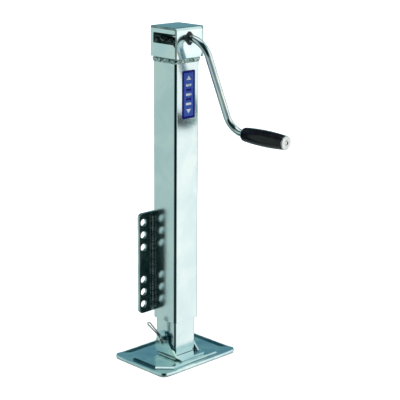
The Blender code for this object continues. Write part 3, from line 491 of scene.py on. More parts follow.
def printed_foil(name, color, rough=(0.22, 0.34), metallic=0.0):
    """Printed label film: even ink with a faint mottle under a satin varnish."""
    shader = Shader(name, metallic=metallic)
    dark = tuple(channel * 0.86 for channel in color)
    mottle = shader.noise(260.0, 4.0, roughness=0.7)
    shader.color(shader.ramp(mottle, [(0.38, dark), (0.62, color)]))
    shader.rough(shader.remap(shader.noise(80.0, 4.0), rough[0], rough[1]))
    shader.principled.inputs["Specular IOR Level"].default_value = 0.15
    shader.bump(shader.noise(900.0, 2.0), 0.08, 0.04 * MM)
    return shader.material


def bronze():
    """Cast bronze nut, mottled with dark grease."""
    shader = Shader("nut_bronze", metallic=1.0)
    stops = [(0.35, (0.30, 0.19, 0.09)), (0.65, (0.62, 0.43, 0.20))]
    shader.color(shader.ramp(shader.noise(80.0, 5.0), stops))
    shader.rough(shader.remap(shader.noise(240.0, 3.0), 0.28, 0.50))
    shader.bump(shader.noise(500.0, 3.0), 0.2, 0.12 * MM)
    return shader.material


TUBE_ZINC = zinc(
    "tube_zinc",
    low=(0.70, 0.84, 0.86),
    high=(0.84, 0.94, 0.93),
    rough=(0.14, 0.24),
    streak=(1.0, 1.0, 0.03),
)
# Darker copy of the tube zinc for the rounded corners: a painted dark reflection
PAINTED_DARK_CORNER_ZINC = zinc(
    "corner_zinc_painted_dark",
    low=(0.46, 0.58, 0.58),
    high=(0.62, 0.72, 0.71),
    rough=(0.03, 0.09),
    streak=(1.0, 1.0, 0.03),
)
HEAD_ZINC = zinc(
    "head_zinc",
    low=(0.74, 0.92, 0.95),
    high=(0.92, 1.00, 0.98),
    rough=(0.06, 0.17),
    streak=(1.0, 0.2, 1.0),
    wave=0.4,
    clouds=24.0,
)
PLATE_ZINC = zinc(
    "plate_zinc",
    low=(0.56, 0.66, 0.70),
    high=(0.80, 0.87, 0.85),
    rough=(0.10, 0.26),
    streak=(1.0, 1.0, 0.2),
    wave=0.3,
    clouds=26.0,
)
FOOT_ZINC = zinc(
    "foot_zinc",
    low=(0.46, 0.66, 0.76),
    high=(0.80, 0.96, 0.90),
    rough=(0.07, 0.22),
    streak=(0.2, 1.0, 1.0),
    wave=0.6,
    clouds=16.0,
)
ROD_ZINC = zinc(
    "rod_zinc",
    low=(0.70, 0.80, 0.82),
    high=(0.88, 0.93, 0.90),
    rough=(0.08, 0.20),
    wave=0.2,
    clouds=40.0,
)
WIRE_ZINC = zinc(
    "wire_zinc",
    low=(0.30, 0.37, 0.37),
    high=(0.66, 0.72, 0.70),
    rough=(0.12, 0.28),
    wave=0.1,
    clouds=90.0,
)
SHEARED_ZINC = zinc(
    "sheared_zinc",
    low=(0.16, 0.24, 0.24),
    high=(0.42, 0.52, 0.50),
    rough=(0.20, 0.40),
    wave=0.3,
    clouds=60.0,
)
HEAD_WELD = weld_metal("head_weld_metal", 1.0)
# The plate's welds use the same weld metal at half its level: painted shade
PLATE_WELD_PAINTED_SHADE = weld_metal("plate_weld_metal_painted_shade", 0.5)
STEEL = machined_steel("machined_steel", (0.68, 0.72, 0.71), (0.34, 0.34, 0.30))
BRIGHT = bright_steel()
GRIP_PLASTIC = gloss_plastic()
NYLON = matte_nylon()
BRONZE = bronze()
LABEL_NAVY = printed_foil("label_navy", (0.002, 0.003, 0.130))
LABEL_BLUE = printed_foil("label_blue", (0.032, 0.070, 0.330))
LABEL_SILVER = printed_foil("label_silver", (0.62, 0.66, 0.70), rough=(0.20, 0.30), metallic=0.6)


# Housing

def square_tube(name, node, wall, corner_r, body):
    """Drawn square tube with soft burnished corners and deburred ends; the corners get a darker zinc, a
    painted dark reflection.
    """
    low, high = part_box(node)
    half = (high.y - low.y) / 2
    burr = 0.5 * MM
    inner = half - wall
    inner_r = max(corner_r - wall, 1.2 * MM)
    sections = [
        (half - burr, corner_r - burr, low.z),
        (half, corner_r, low.z + burr),
        (half, corner_r, high.z - burr),
        (half - burr, corner_r - burr, high.z),
        (inner + burr, inner_r + burr, high.z),
        (inner, inner_r, high.z - burr),
        (inner, inner_r, low.z + burr),
        (inner + burr, inner_r + burr, low.z),
    ]
    rings = []
    for size, radius, z in sections:
        shift = Vector((AXIS_X, 0.0, z))
        rings.append([point + shift for point in rounded_rectangle(size, size, radius, 10)])
    mesh = mesh_from(loft(rings, wrap=True))
    tube = new_piece(name, mesh, body, [TUBE_ZINC, PAINTED_DARK_CORNER_ZINC], [node])
    # Corner faces take the darker zinc, painted dark reflection along the edges
    corner_turn = 0.25
    for face in mesh.polygons:
        if min(abs(face.normal.x), abs(face.normal.y)) > corner_turn:
            face.material_index = 1
    return tube


def mounting_plate():
    """Punched plate; each hole's edge is rounded as the punch leaves it."""
    low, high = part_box("mounting_plate")
    hole_r = 7.15 * MM
    column_y = 56.2 * MM
    pitch = 25.4 * MM
    first_z = 33.3 * MM
    corner_r = 9.0 * MM
    outlines = [rounded_rectangle(high.z, high.y, corner_r)]
    for side in (-1, 1):
        for end in (-1, 1):
            for row in range(3):
                outlines.append(circle(end * (first_z + row * pitch), side * column_y, hole_r))
    bm = sheet(outlines, high.x - low.x, 0.8 * MM)
    matrix = Matrix.Translation(((low.x + high.x) / 2, 0.0, 0.0)) @ ALONG_X
    mesh = mesh_from(bm, matrix)
    new_piece("punched_plate", mesh, "housing", [PLATE_ZINC], ["mounting_plate"])


def ripple(distance, seed, depth):
    """How a weld bead's size swings along it: overlapping crescents and a slow drift."""
    crescent_pitch = 3.4 * MM
    drift_scale = 110.0
    crescent = abs(math.sin(math.pi * distance / crescent_pitch))
    drift = noise.noise(Vector((distance * drift_scale, seed, 0.3)))
    return 1.0 - depth * (1.0 - crescent) + 1.4 * depth * min(drift, 0.35)


def weld_bead(name, node, axis, body, seed, material, depth):
    """A bead along one axis that fills its packed bar's box."""
    low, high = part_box(node)
    middle = (low + high) / 2
    across = [index for index in range(3) if index != axis]
    radius = min(high[index] - low[index] for index in across) / 2
    length = high[axis] - low[axis]
    station = 0.5 * MM
    end_length = 3.0 * MM
    end_size = 0.35
    sides = 14
    steps = int(length / station)
    rings = []
    for step in range(steps + 1):
        distance = length * step / steps
        taper = min(1.0, distance / end_length, (length - distance) / end_length)
        size = radius * ripple(distance, seed, depth) * (end_size + (1.0 - end_size) * math.sqrt(taper))
        ring = []
        for turn in range(sides):
            angle = 2.0 * math.pi * turn / sides
            point = middle.copy()
            lag = station * math.cos(angle) * taper
            point[axis] = low[axis] + distance + lag
            point[across[0]] += size * math.cos(angle)
            point[across[1]] += size * math.sin(angle)
            ring.append(point)
        rings.append(ring)
    mesh = mesh_from(loft(rings))
    new_piece(name, mesh, body, [material], [node], sharp_angle=80.0)


def head_weld():
    """The bead that runs round the tube under the gear housing."""
    low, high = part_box("head_weld")
    gap = 0.08 * MM
    inner = TUBE_HALF + gap
    reach = (high.y - low.y) / 2 - inner
    height = high.z - low.z
    station = 0.9 * MM
    path = rounded_rectangle(inner, inner, TUBE_CORNER_R)
    stations = []
    for index, point in enumerate(path):
        after = path[(index + 1) % len(path)]
        pieces = max(1, int((after - point).length / station))
        for piece in range(pieces):
            stations.append(point.lerp(after, piece / pieces))
    profile_steps = 9
    lump_scale = 320.0
    rings = []
    travelled = 0.0
    for index, point in enumerate(stations):
        after = stations[(index + 1) % len(stations)]
        along = (after - point).normalized()
        outward = Vector((along.y, -along.x, 0.0))
        if outward.dot(point) < 0.0:
            outward = -outward
        travelled += (after - point).length
        size = ripple(travelled, 4.0, 0.28)
        ring = [point + Vector((AXIS_X, 0.0, low.z)), point + Vector((AXIS_X, 0.0, high.z))]
        for step in range(1, profile_steps):
            share = 1.0 - step / profile_steps
            swell = math.sin(math.pi * share) ** 0.5
            lumps = noise.noise(Vector((point.x * lump_scale, point.y * lump_scale, share * 3.0)))
            out = reach * min(1.0, swell * size * (0.80 + 0.55 * lumps))
            place = point + outward * out
            ring.append(Vector((place.x + AXIS_X, place.y, low.z + share * height)))
        rings.append(ring)
    mesh = mesh_from(loft(rings, wrap=True))
    new_piece("head_weld_bead", mesh, "housing", [HEAD_WELD], ["head_weld"], 80.0)


def gear_housing():
    """Bent sheet with the shaft's holes, one clipped corner and a notch for the front wall."""
    inner_x = HEAD_HALF - HEAD_SHEET
    bend_r = 8.0 * MM
    fold_r = 2.5 * MM
    top = HEAD_HIGH.z
    bottom = HEAD_LOW.z
    corners = [
        (-HEAD_HALF, bottom, 0.0),
        (-HEAD_HALF, top, fold_r),
        (HEAD_HALF, top, bend_r),
        (HEAD_HALF, bottom, 0.0),
        (inner_x, bottom, 0.0),
        (inner_x, top - HEAD_SHEET, bend_r - HEAD_SHEET),
        (-inner_x, top - HEAD_SHEET, 0.0),
        (-inner_x, bottom, 0.0),
    ]
    depth = HEAD_HIGH.y - HEAD_LOW.y
    middle_y = (HEAD_HIGH.y + HEAD_LOW.y) / 2
    place = Matrix.Translation((AXIS_X, middle_y, 0.0)) @ ALONG_MINUS_Y
    base = extruded(rounded_outline(corners, 10), depth, place)
    bore_r = 9.6 * MM
    bore = drill(bore_r, SHAFT, ALONG_X)
    clip_size = Vector((3 * HEAD_SHEET, 10.0 * MM, 20.0 * MM))
    clip_place = Vector((AXIS_X + HEAD_HALF, HEAD_HIGH.y + 1.5 * MM, bottom))
    clip_turn = Matrix.Rotation(math.radians(-24.0), 4, "X")
    clip = block(clip_size, Matrix.Translation(clip_place) @ clip_turn)
    gap = 0.3 * MM
    over = 1.0 * MM
    notch_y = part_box("front_wall")[1].y + gap
    notch_low = Vector((HEAD_LOW.x - over, HEAD_LOW.y - over, bottom - over))
    notch_high = Vector((HEAD_LOW.x + HEAD_SHEET + over, notch_y, top - HEAD_SHEET))
    notch = block(notch_high - notch_low, Matrix.Translation((notch_high + notch_low) / 2))
    cuts = [(bore, "DIFFERENCE"), (clip, "DIFFERENCE"), (notch, "DIFFERENCE")]
    mesh = combined(base, cuts, 0.6 * MM)
    materials = [HEAD_ZINC, SHEARED_ZINC]
    housing = new_piece("bent_housing", mesh, "housing", materials, ["gear_housing"])
    # The sheared front edge is duller than the rolled faces
    faces_front = -0.9
    for face in housing.data.polygons:
        if face.normal.y < faces_front:
            face.material_index = 1


def standing_sheet(node, outline, edge):
    """A sheet parallel to the XZ plane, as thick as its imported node."""
    low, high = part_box(node)
    place = Matrix.Translation((AXIS_X, (low.y + high.y) / 2, 0.0)) @ ALONG_MINUS_Y
    return mesh_from(sheet([outline], high.y - low.y, edge), place)


def front_wall():
    """Front cover with the grease window, whose free ends beside the crank-side leg slant."""
    low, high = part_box("front_wall")
    left_x = low.x - AXIS_X
    side_x = high.x - AXIS_X
    window_left = -28.3 * MM
    window_bottom = 435.5 * MM
    window_top = 455.0 * MM
    slant = 5.5 * MM
    corners = [
        (left_x, low.z, 0.0),
        (side_x, low.z, 0.0),
        (side_x, window_bottom - slant, 1.0 * MM),
        (side_x - slant, window_bottom, 1.0 * MM),
        (window_left, window_bottom, 1.5 * MM),
        (window_left, window_top, 1.5 * MM),
        (side_x - slant / 2, window_top, 0.5 * MM),
        (side_x, window_top + slant / 2, 0.5 * MM),
        (side_x, high.z, 3.0 * MM),
        (left_x, high.z, 0.0),
    ]
    mesh = standing_sheet("front_wall", rounded_outline(corners, 6), 0.5 * MM)
    new_piece("window_wall", mesh, "housing", [HEAD_ZINC], ["front_wall"])


def rear_wall():
    low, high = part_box("rear_wall")
    half_x = (high.x - low.x) / 2
    corners = [
        (-half_x, low.z, 1.0 * MM),
        (half_x, low.z, 1.0 * MM),
        (half_x, high.z, 4.0 * MM),
        (-half_x, high.z, 4.0 * MM),
    ]
    mesh = standing_sheet("rear_wall", rounded_outline(corners), 0.6 * MM)
    new_piece("rear_cover", mesh, "housing", [HEAD_ZINC], ["rear_wall"])


def crank_bushing():
    """Square nylon flange on its corner, with a raised collar round the crank bar."""
    low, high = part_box("crank_bushing")
    flange_t = 2.6 * MM
    half = 9.8 * MM
    corner_r = 2.2 * MM
    sleeve_r = 9.3 * MM
    sleeve_half = (high.x - low.x) / 2
    bore_reach = 20.0 * MM
    flange = sheet([rounded_rectangle(half, half, corner_r)], flange_t, 0.6 * MM)
    turn = Matrix.Rotation(math.radians(45.0), 4, "Z")
    flange_x = high.x - flange_t / 2
    place = Matrix.Translation((flange_x, SHAFT.y, SHAFT.z)) @ ALONG_X @ turn
    sleeve = turned([(sleeve_r, -sleeve_half), (sleeve_r, sleeve_half - 0.2 * MM)])
    sleeve = mesh_from(sleeve, Matrix.Translation(((low.x + high.x) / 2, SHAFT.y, SHAFT.z)) @ ALONG_X)
    bore = drill(ROD_BORE_R, (flange_x, SHAFT.y, SHAFT.z), ALONG_X, reach=bore_reach)
    mesh = combined(mesh_from(flange, place), [(sleeve, "UNION"), (bore, "DIFFERENCE")])
    new_piece("nylon_bushing", mesh, "housing", [NYLON], ["crank_bushing"])


def label():
    """Blue foil label: navy border, lighter panel and a plain arrow graphic."""
    low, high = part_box("label_plate")
    middle_y = (low.y + high.y) / 2
    middle_z = (low.z + high.z) / 2
    half_w = (high.y - low.y) / 2
    half_h = (high.z - low.z) / 2
    navy, silver, blue = range(3)
    layers = []

    def layer(outline, height, ink):
        film_t = 0.12 * MM
        place = Matrix.Translation((low.x + height, middle_y, middle_z)) @ ALONG_X
        layers.append((mesh_from(sheet([outline], film_t, 0.02 * MM), place), ink))

    backing_z = 0.08 * MM
    panel_z = 0.14 * MM
    graphic_z = 0.20 * MM
    border = 4.8 * MM
    layer(rounded_rectangle(half_h, half_w, 3.0 * MM), backing_z, navy)
    layer(rounded_rectangle(half_h - border, half_w - border, 1.2 * MM), panel_z, blue)
    arrow_gap = 5.0 * MM
    arrow_length = 8.5 * MM
    arrow_half = 6.2 * MM
    for direction in (-1, 1):
        tip = direction * (half_h - border - arrow_gap)
        base = tip - direction * arrow_length
        arrow = [Vector((tip, 0.0, 0.0)), Vector((base, arrow_half, 0.0)), Vector((base, -arrow_half, 0.0))]
        layer(arrow, graphic_z, silver)
    bar_pitch = 9.0 * MM
    bar = rounded_rectangle(2.2 * MM, 7.0 * MM, 0.5 * MM)
    for row in range(-2, 3):
        shift = Vector((row * bar_pitch, 0.0, 0.0))
        layer([point + shift for point in bar], graphic_z, navy if row % 2 else silver)
    bm = bmesh.new()
    inks = []
    for mesh, ink in layers:
        bm.from_mesh(mesh)
        inks.extend([ink] * (len(bm.faces) - len(inks)))
    mesh = bpy.data.meshes.new("label")
    bm.to_mesh(mesh)
    bm.free()
    materials = [LABEL_NAVY, LABEL_SILVER, LABEL_BLUE]
    new_piece("foil_label", mesh, "housing", materials, ["label_plate"])
    mesh.polygons.foreach_set("material_index", inks)


def ring_piece(name, node, material, body):
    """A washer-like ring round the crank bar, with rounded edges, that fills its packed box."""
    low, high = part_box(node)
    middle = (low + high) / 2
    sizes = high - low
    thickness = min(sizes)
    outer_r = max(sizes) / 2
    half = thickness / 2
    edge = min(0.5 * MM, half * 0.8)
    profile = arc(outer_r - edge, half - edge, edge, 90.0, 0.0, 3)
    profile.extend(arc(outer_r - edge, edge - half, edge, 0.0, -90.0, 3))
    profile.extend(arc(ROD_BORE_R + edge, edge - half, edge, -90.0, -180.0, 3))
    profile.extend(arc(ROD_BORE_R + edge, half - edge, edge, 180.0, 90.0, 3))
    mesh = mesh_from(turned(profile, wrap=True), Matrix.Translation(middle) @ ALONG_X)
    new_piece(name, mesh, body, [material], [node])


# Crank

def crank_rod():
    """The bent bar: its two bends are drawn round, and its ends are chamfered."""
    low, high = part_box("crank_rod")
    bend_r = 33.3 * MM
    arm_x = AXIS_X + 73.8 * MM
    chamfer = 1.0 * MM
    corners = [
        Vector((low.x, SHAFT.y, SHAFT.z)),
        Vector((arm_x, SHAFT.y, SHAFT.z)),
        Vector((arm_x, GRIP.y, GRIP.z)),
        Vector((high.x, GRIP.y, GRIP.z)),
    ]
    chamfer_step = Vector((chamfer, 0.0, 0.0))
    path = [corners[0], corners[0] + chamfer_step]
    for before, corner, after in zip(corners, corners[1:], corners[2:]):
        path.extend(fillet(before, corner, after, bend_r, 28))
    path.append(corners[-1] - chamfer_step)
    path.append(corners[-1])

    def radius_at(from_start, from_end):
        return ROD_R - max(0.0, chamfer - min(from_start, from_end))

    mesh = mesh_from(swept(path, radius_at, 36))
    new_piece("bent_crank_bar", mesh, "crank", [ROD_ZINC], ["crank_rod"])


def grip():
    """Barrel-shaped plastic sleeve with rounded ends and a faint mould line."""
    low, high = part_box("grip")
    length = high.x - low.x
    end_r = 13.4 * MM
    belly = (high.y - low.y) / 2 - end_r
    edge = 1.6 * MM
    profile = [(ROD_BORE_R, length)]
    profile.extend(arc(end_r - edge, length - edge, edge, 90.0, 0.0, 5))
    stations = 36
    for step in range(1, stations):
        share = step / stations
        swell = belly * math.sin(math.pi * share) ** 0.75
        profile.append((end_r + swell, length - edge - share * (length - 2 * edge)))
    profile.extend(arc(end_r - edge, edge, edge, 0.0, -90.0, 5))
    profile.append((ROD_BORE_R, 0.0))
    bm = turned(profile, 72, wrap=True)
    line_half = math.radians(2.6)
    line_rise = 0.12 * MM
    for vert in bm.verts:
        radius = math.hypot(vert.co.x, vert.co.y)
        if radius > end_r - edge:
            off_line = abs(math.asin(max(-1.0, min(1.0, vert.co.y / radius))))
            if off_line < line_half:
                raised = 1.0 + line_rise / radius
                vert.co.x *= raised
                vert.co.y *= raised
    mesh = mesh_from(bm, Matrix.Translation((low.x, GRIP.y, GRIP.z)) @ ALONG_X)
    new_piece("moulded_grip", mesh, "grip_sleeve", [GRIP_PLASTIC], ["grip"])


def grip_end_cap():
    """Bright push-on cap: a crowned rim round a dished middle."""
    low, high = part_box("grip_end_cap")
    thickness = high.x - low.x
    outer_r = (high.y - low.y) / 2
    dish_r = 5.2 * MM
    edge = 1.3 * MM
    floor_z = 0.30 * thickness
    floor_r = 0.55 * dish_r
    wall_start_r = 0.62 * dish_r
    wall_end_r = 1.04 * dish_r
    wall_rise = 0.68 * thickness
    profile = [(AXIS_CAP_R, floor_z), (floor_r, floor_z)]
    for step in range(6):
        share = step / 5
        depth = 0.5 + 0.5 * math.cos(math.pi * share)
        radius = wall_start_r + (wall_end_r - wall_start_r) * share
        profile.append((radius, thickness - wall_rise * depth))
    profile.extend(arc(outer_r - edge, thickness - edge, edge, 90.0, 0.0, 7))
    profile.append((outer_r, 0.0))
    profile.append((AXIS_CAP_R, 0.0))
    bm = turned(profile, 64)
    mesh = mesh_from(bm, Matrix.Translation((low.x, GRIP.y, GRIP.z)) @ ALONG_X)
    new_piece("grip_end_button", mesh, "crank", [BRIGHT], ["grip_end_cap"])


# Ram and foot

def pin_centre():
    low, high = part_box("clevis_pin")
    return Vector((AXIS_X, 0.0, (low.z + high.z) / 2))


def inner_tube():
    """The ram's tube, drilled across for the clevis pin."""
    ram = square_tube("drawn_ram_tube", "inner_tube", 3.2 * MM, 4.6 * MM, "ram")
    hole = drill(CLEVIS_HOLE_R, pin_centre(), ALONG_MINUS_Y, 32)
    mesh = combined(ram.data.copy(), [(hole, "DIFFERENCE")])
    mesh.set_sharp_from_angle(angle=math.radians(SHARP_ANGLE))
    ram.data = mesh


def foot_bracket():
    """Bent channel: two round-topped ears, a web on the foot and rounded bends."""
    low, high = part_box("foot_bracket")
    pin = pin_centre()
    web_t = 4.0 * MM
    ear_t = 4.0 * MM
    ear_half = 14.0 * MM
    web_top = low.z + web_t
    corners = [
        (-16.0 * MM, low.z, 2.0 * MM),
        (50.0 * MM, low.z, 0.5 * MM),
        (50.0 * MM, web_top, 0.5 * MM),
        (36.0 * MM, web_top, 2.0 * MM),
        (ear_half, pin.z - 8.0 * MM, 3.0 * MM),
        (ear_half, high.z, ear_half - 0.2 * MM),
        (-ear_half, high.z, ear_half - 0.2 * MM),
        (-26.0 * MM, pin.z - 16.0 * MM, 6.0 * MM),
        (-26.0 * MM, pin.z - 25.0 * MM, 7.0 * MM),
    ]
    width = high.y - low.y
    place = Matrix.Translation((AXIS_X, 0.0, 0.0)) @ ALONG_MINUS_Y
    base = extruded(rounded_outline(corners, 10), width, place)
    reach = 90.0 * MM
    rise = 70.0 * MM

    def channel_core(half_y, floor_z, radius):
        """A long bar whose two lower edges are rounded."""
        core_corners = [
            (-half_y, floor_z, radius),
            (half_y, floor_z, radius),
            (half_y, floor_z + rise, 0.0),
            (-half_y, floor_z + rise, 0.0),
        ]
        core = []
        for end in (-1, 1):
            ring = rounded_outline(core_corners, 8)
            core.append([Vector((AXIS_X + end * reach, p.x, p.y)) for p in ring])
        return mesh_from(loft(core))

    hole = drill(CLEVIS_HOLE_R, pin, ALONG_MINUS_Y, 32)
    tools = [
        (channel_core(width / 2, low.z, 5.0 * MM), "INTERSECT"),
        (channel_core(width / 2 - ear_t, web_top, 1.5 * MM), "DIFFERENCE"),
        (hole, "DIFFERENCE"),
    ]
    mesh = combined(base, tools, 0.5 * MM)
    new_piece("bent_foot_bracket", mesh, "ram", [FOOT_ZINC], ["foot_bracket"])


def octagon(half_x, half_y, chamfer, steps):
    """A rectangle with cut corners, with as many points as a rounded rectangle."""
    outline = []
    for sign_x, sign_y in ((1, 1), (-1, 1), (-1, -1), (1, -1)):
        first = Vector((sign_x * half_x, sign_y * (half_y - chamfer), 0.0))
        second = Vector((sign_x * (half_x - chamfer), sign_y * half_y, 0.0))
        if sign_x != sign_y:
            first, second = second, first
        for step in range(steps + 1):
            outline.append(first.lerp(second, step / steps))
    return outline


def with_side_points(outline, corner_points, side_points):
    """Adds points along an outline's four straight sides, closer together near corners."""
    result = []
    for corner in range(4):
        corner_arc = outline[corner * corner_points:(corner + 1) * corner_points]
        next_start = outline[(corner + 1) * corner_points % len(outline)]
        result.extend(corner_arc)
        for step in range(1, side_points + 1):
            share = 0.5 - 0.5 * math.cos(math.pi * step / (side_points + 1))
            result.append(corner_arc[-1].lerp(next_start, share))
    return result


def foot_plate():
    """Pressed sheet: a flange with upturned corners and a raised middle with soft steps."""
    thickness = 4.8 * MM
    half_x = 73.0 * MM
    half_y = 100.0 * MM
    flange_w = 13.0 * MM
    run = 4.5 * MM
    chamfer = 26.0 * MM
    step_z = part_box("foot_plate")[0].z + thickness
    top_z = step_z + 3.0 * MM
    edge_rise = 2.0 * MM
    curl = 2.5 * MM
    curl_reach = 34.0 * MM
    steps = 10
    side_points = 15
    edge = rounded_rectangle(half_x, half_y, 11.0 * MM, steps)
    foot_of_step = octagon(half_x - flange_w, half_y - flange_w, chamfer, steps)
    top_of_step = octagon(half_x - flange_w - run, half_y - flange_w - run, chamfer - 1.5 * MM, steps)
    soft = 1.6 * MM
    inside = octagon(
        half_x - flange_w - run - soft, half_y - flange_w - run - soft, chamfer - 2.0 * MM, steps
    )
    rings = []

    def add_ring(first, second, share, z):
        ring = []
        outline = [a.lerp(b, share) for a, b in zip(first, second)]
        for point in with_side_points(outline, steps + 1, side_points):
            corner_distance = math.hypot(half_x - abs(point.x), half_y - abs(point.y))
            turned_up = curl * max(0.0, 1.0 - corner_distance / curl_reach) ** 2
            ring.append(Vector((point.x + AXIS_X, point.y, z + turned_up)))
        rings.append(ring)

    for share in (0.0, 0.18, 0.35, 0.52, 0.7, 0.9):
        add_ring(edge, foot_of_step, share, step_z + edge_rise * (1.0 - smooth(share)))
    for index in range(9):
        share = index / 8
        add_ring(foot_of_step, top_of_step, share, step_z + (top_z - step_z) * smooth(share))
    add_ring(inside, inside, 0.0, top_z)
    bm = bmesh.new()
    circles = [[bm.verts.new(point) for point in ring] for ring in rings]
    skin(bm, circles)
    bm.faces.new(circles[-1])
    mesh = bpy.data.meshes.new("foot")
    bm.to_mesh(mesh)
    bm.free()
    plate = bpy.data.objects.new("foot", mesh)
    solid = plate.modifiers.new("sheet", "SOLIDIFY")
    solid.thickness = thickness
    solid.offset = -1.0
    bevel = plate.modifiers.new("rim", "BEVEL")
    bevel.width = 0.9 * MM
    bevel.segments = 3
    bevel.limit_method = "ANGLE"
    bevel.angle_limit = math.radians(50.0)
    mesh = evaluated(plate)
    new_piece("pressed_foot", mesh, "ram", [FOOT_ZINC], ["foot_plate"])


def clip_lean():
    """The clip's pull direction and the direction across it, in its own plane."""
    pull = Vector(JOINTS["clip_pull"]["axis"]).normalized()
    return pull, Vector((pull.z, 0.0, -pull.x))


def clevis_pin():
    """Headed pin with a domed tip and the clip's cross hole."""
    low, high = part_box("clevis_pin")
    pin = pin_centre()
    head_r = (high.z - low.z) / 2
    tip = -low.y
    dome = 3.0 * MM
    head_end = -high.y
    head_t = 4.0 * MM
    soft = 0.9 * MM
    crown = 1.6 * MM
    profile = [(AXIS_CAP_R, tip)]
    for step in range(1, 9):
        angle = math.pi / 2 * (1.0 - step / 8)
        profile.append((CLEVIS_R * math.cos(angle), tip - dome * (1.0 - math.sin(angle))))
    profile.append((CLEVIS_R, head_end + head_t))
    profile.extend(arc(head_r - soft, head_end + head_t - soft, soft, 90.0, 0.0, 3))
    profile.extend(arc(head_r - crown, head_end + crown, crown, 0.0, -90.0, 5))
    profile.append((AXIS_CAP_R, head_end))
    base = mesh_from(turned(profile, 40), Matrix.Translation(pin) @ ALONG_MINUS_Y)
    clip_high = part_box("hairpin_clip")[1]
    pull, _ = clip_lean()
    hole_place = Vector((pin.x, clip_high.y - CLIP_WIRE_R, pin.z))
    hole_r = 1.65 * MM
    turn = Vector((0.0, 0.0, 1.0)).rotation_difference(pull).to_matrix().to_4x4()
    hole = drill(hole_r, hole_place, turn, 20, reach=12.0 * MM)
    mesh = combined(base, [(hole, "DIFFERENCE")])
    new_piece("domed_clevis_pin", mesh, "ram", [ROD_ZINC], ["clevis_pin"])


def smooth_through(points, steps):
    """A Catmull-Rom curve through the points."""
    curve = []
    padded = [points[0]] + points + [points[-1]]
    for a, b, c, d in zip(padded, padded[1:], padded[2:], padded[3:]):
        for step in range(steps):
            t = step / steps
            curve.append(
                0.5 * (2.0 * b + (c - a) * t + (2.0 * a - 5.0 * b + 4.0 * c - d) * t ** 2
                       + (3.0 * b - a - 3.0 * c + d) * t ** 3)
            )
    curve.append(points[-1])
    return curve


def hairpin_clip():
    """Sprung wire: a straight leg through the pin, a round end and a bowed leg beside it."""
    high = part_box("hairpin_clip")[1]
    pin = pin_centre()
    centre = Vector((pin.x, high.y - CLIP_WIRE_R, pin.z))
    pull, across = clip_lean()
    bend_start = 8.0 * MM
    bend_slope = 0.48
    leg_top = 35.0 * MM
    gap = 7.4 * MM
    loop_r = 4.2 * MM
    bulge = CLEVIS_R + CLIP_WIRE_R + 0.5 * MM
    end_chamfer = 0.4 * MM
    straight = (-11.0 * MM, -5.0 * MM, 0.0, 8.0 * MM, leg_top - 8.0 * MM)
    places = [(along, 0.0) for along in straight]
    for step in range(9):
        angle = math.radians(-120.0 + 240.0 * step / 8)
        places.append((leg_top + loop_r * math.cos(angle), gap / 2 + loop_r * math.sin(angle)))
    places.append((leg_top - 8.0 * MM, gap - 1.0 * MM))
    places.append((12.0 * MM, 4.4 * MM))
    places.append((6.5 * MM, 5.6 * MM))
    places.append((1.5 * MM, bulge))
    places.append((-4.0 * MM, bulge + 0.3 * MM))
    places.append((-9.0 * MM, bulge + 2.8 * MM))
    points = []
    for along, side in places:
        bend = bend_slope * max(0.0, along - bend_start)
        points.append(centre + pull * along + across * side - Vector((0.0, bend, 0.0)))

    def radius_at(from_start, from_end):
        return CLIP_WIRE_R - max(0.0, end_chamfer - min(from_start, from_end))

    mesh = mesh_from(swept(smooth_through(points, 6), radius_at, 14))
    new_piece("hairpin_wire", mesh, "clip", [WIRE_ZINC], ["hairpin_clip"])


def carried_over():
    """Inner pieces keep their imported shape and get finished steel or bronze."""
    steel_nodes = (
        "lead_screw", "screw_gear", "pinion", "screw_collar", "stop_collar", "bearing_plate", "shaft_collar"
    )
    finishes = (
        (STEEL, steel_nodes),
        (BRIGHT, ("pinion_pin", "upper_race", "lower_race", "ball_cage")),
        (ROD_ZINC, ("gear_nut",)),
        (BRONZE, ("lift_nut",)),
    )
    for material, nodes in finishes:
        for node in nodes:
            mesh = frame["nodes"][node].data
            mesh.materials.clear()
            mesh.materials.append(material)
            mesh.shade_smooth()
            mesh.set_sharp_from_angle(angle=math.radians(30.0))


# Studio

def floor():
    """Plain pale floor. Mirror-bright faces see the soft studio round them, not the floor."""
    shader = Shader("pale_floor")
    stops = [(0.3, (0.895, 0.895, 0.895)), (0.7, (0.905, 0.905, 0.905))]
    shader.color(shader.ramp(shader.noise(3.0, 2.0), stops))
    shader.rough(shader.remap(shader.noise(20.0, 2.0), 0.75, 0.85))
    half_size = 14.0
    ground_z = CAD_BOX[0][2] - 0.2 * MM
    bm = bmesh.new()
    bmesh.ops.create_grid(bm, x_segments=1, y_segments=1, size=half_size)
    mesh = mesh_from(bm, Matrix.Translation((0.0, 0.0, ground_z)))
    mesh.materials.append(shader.material)
    obj = added("floor", mesh)
    obj.visible_glossy = False


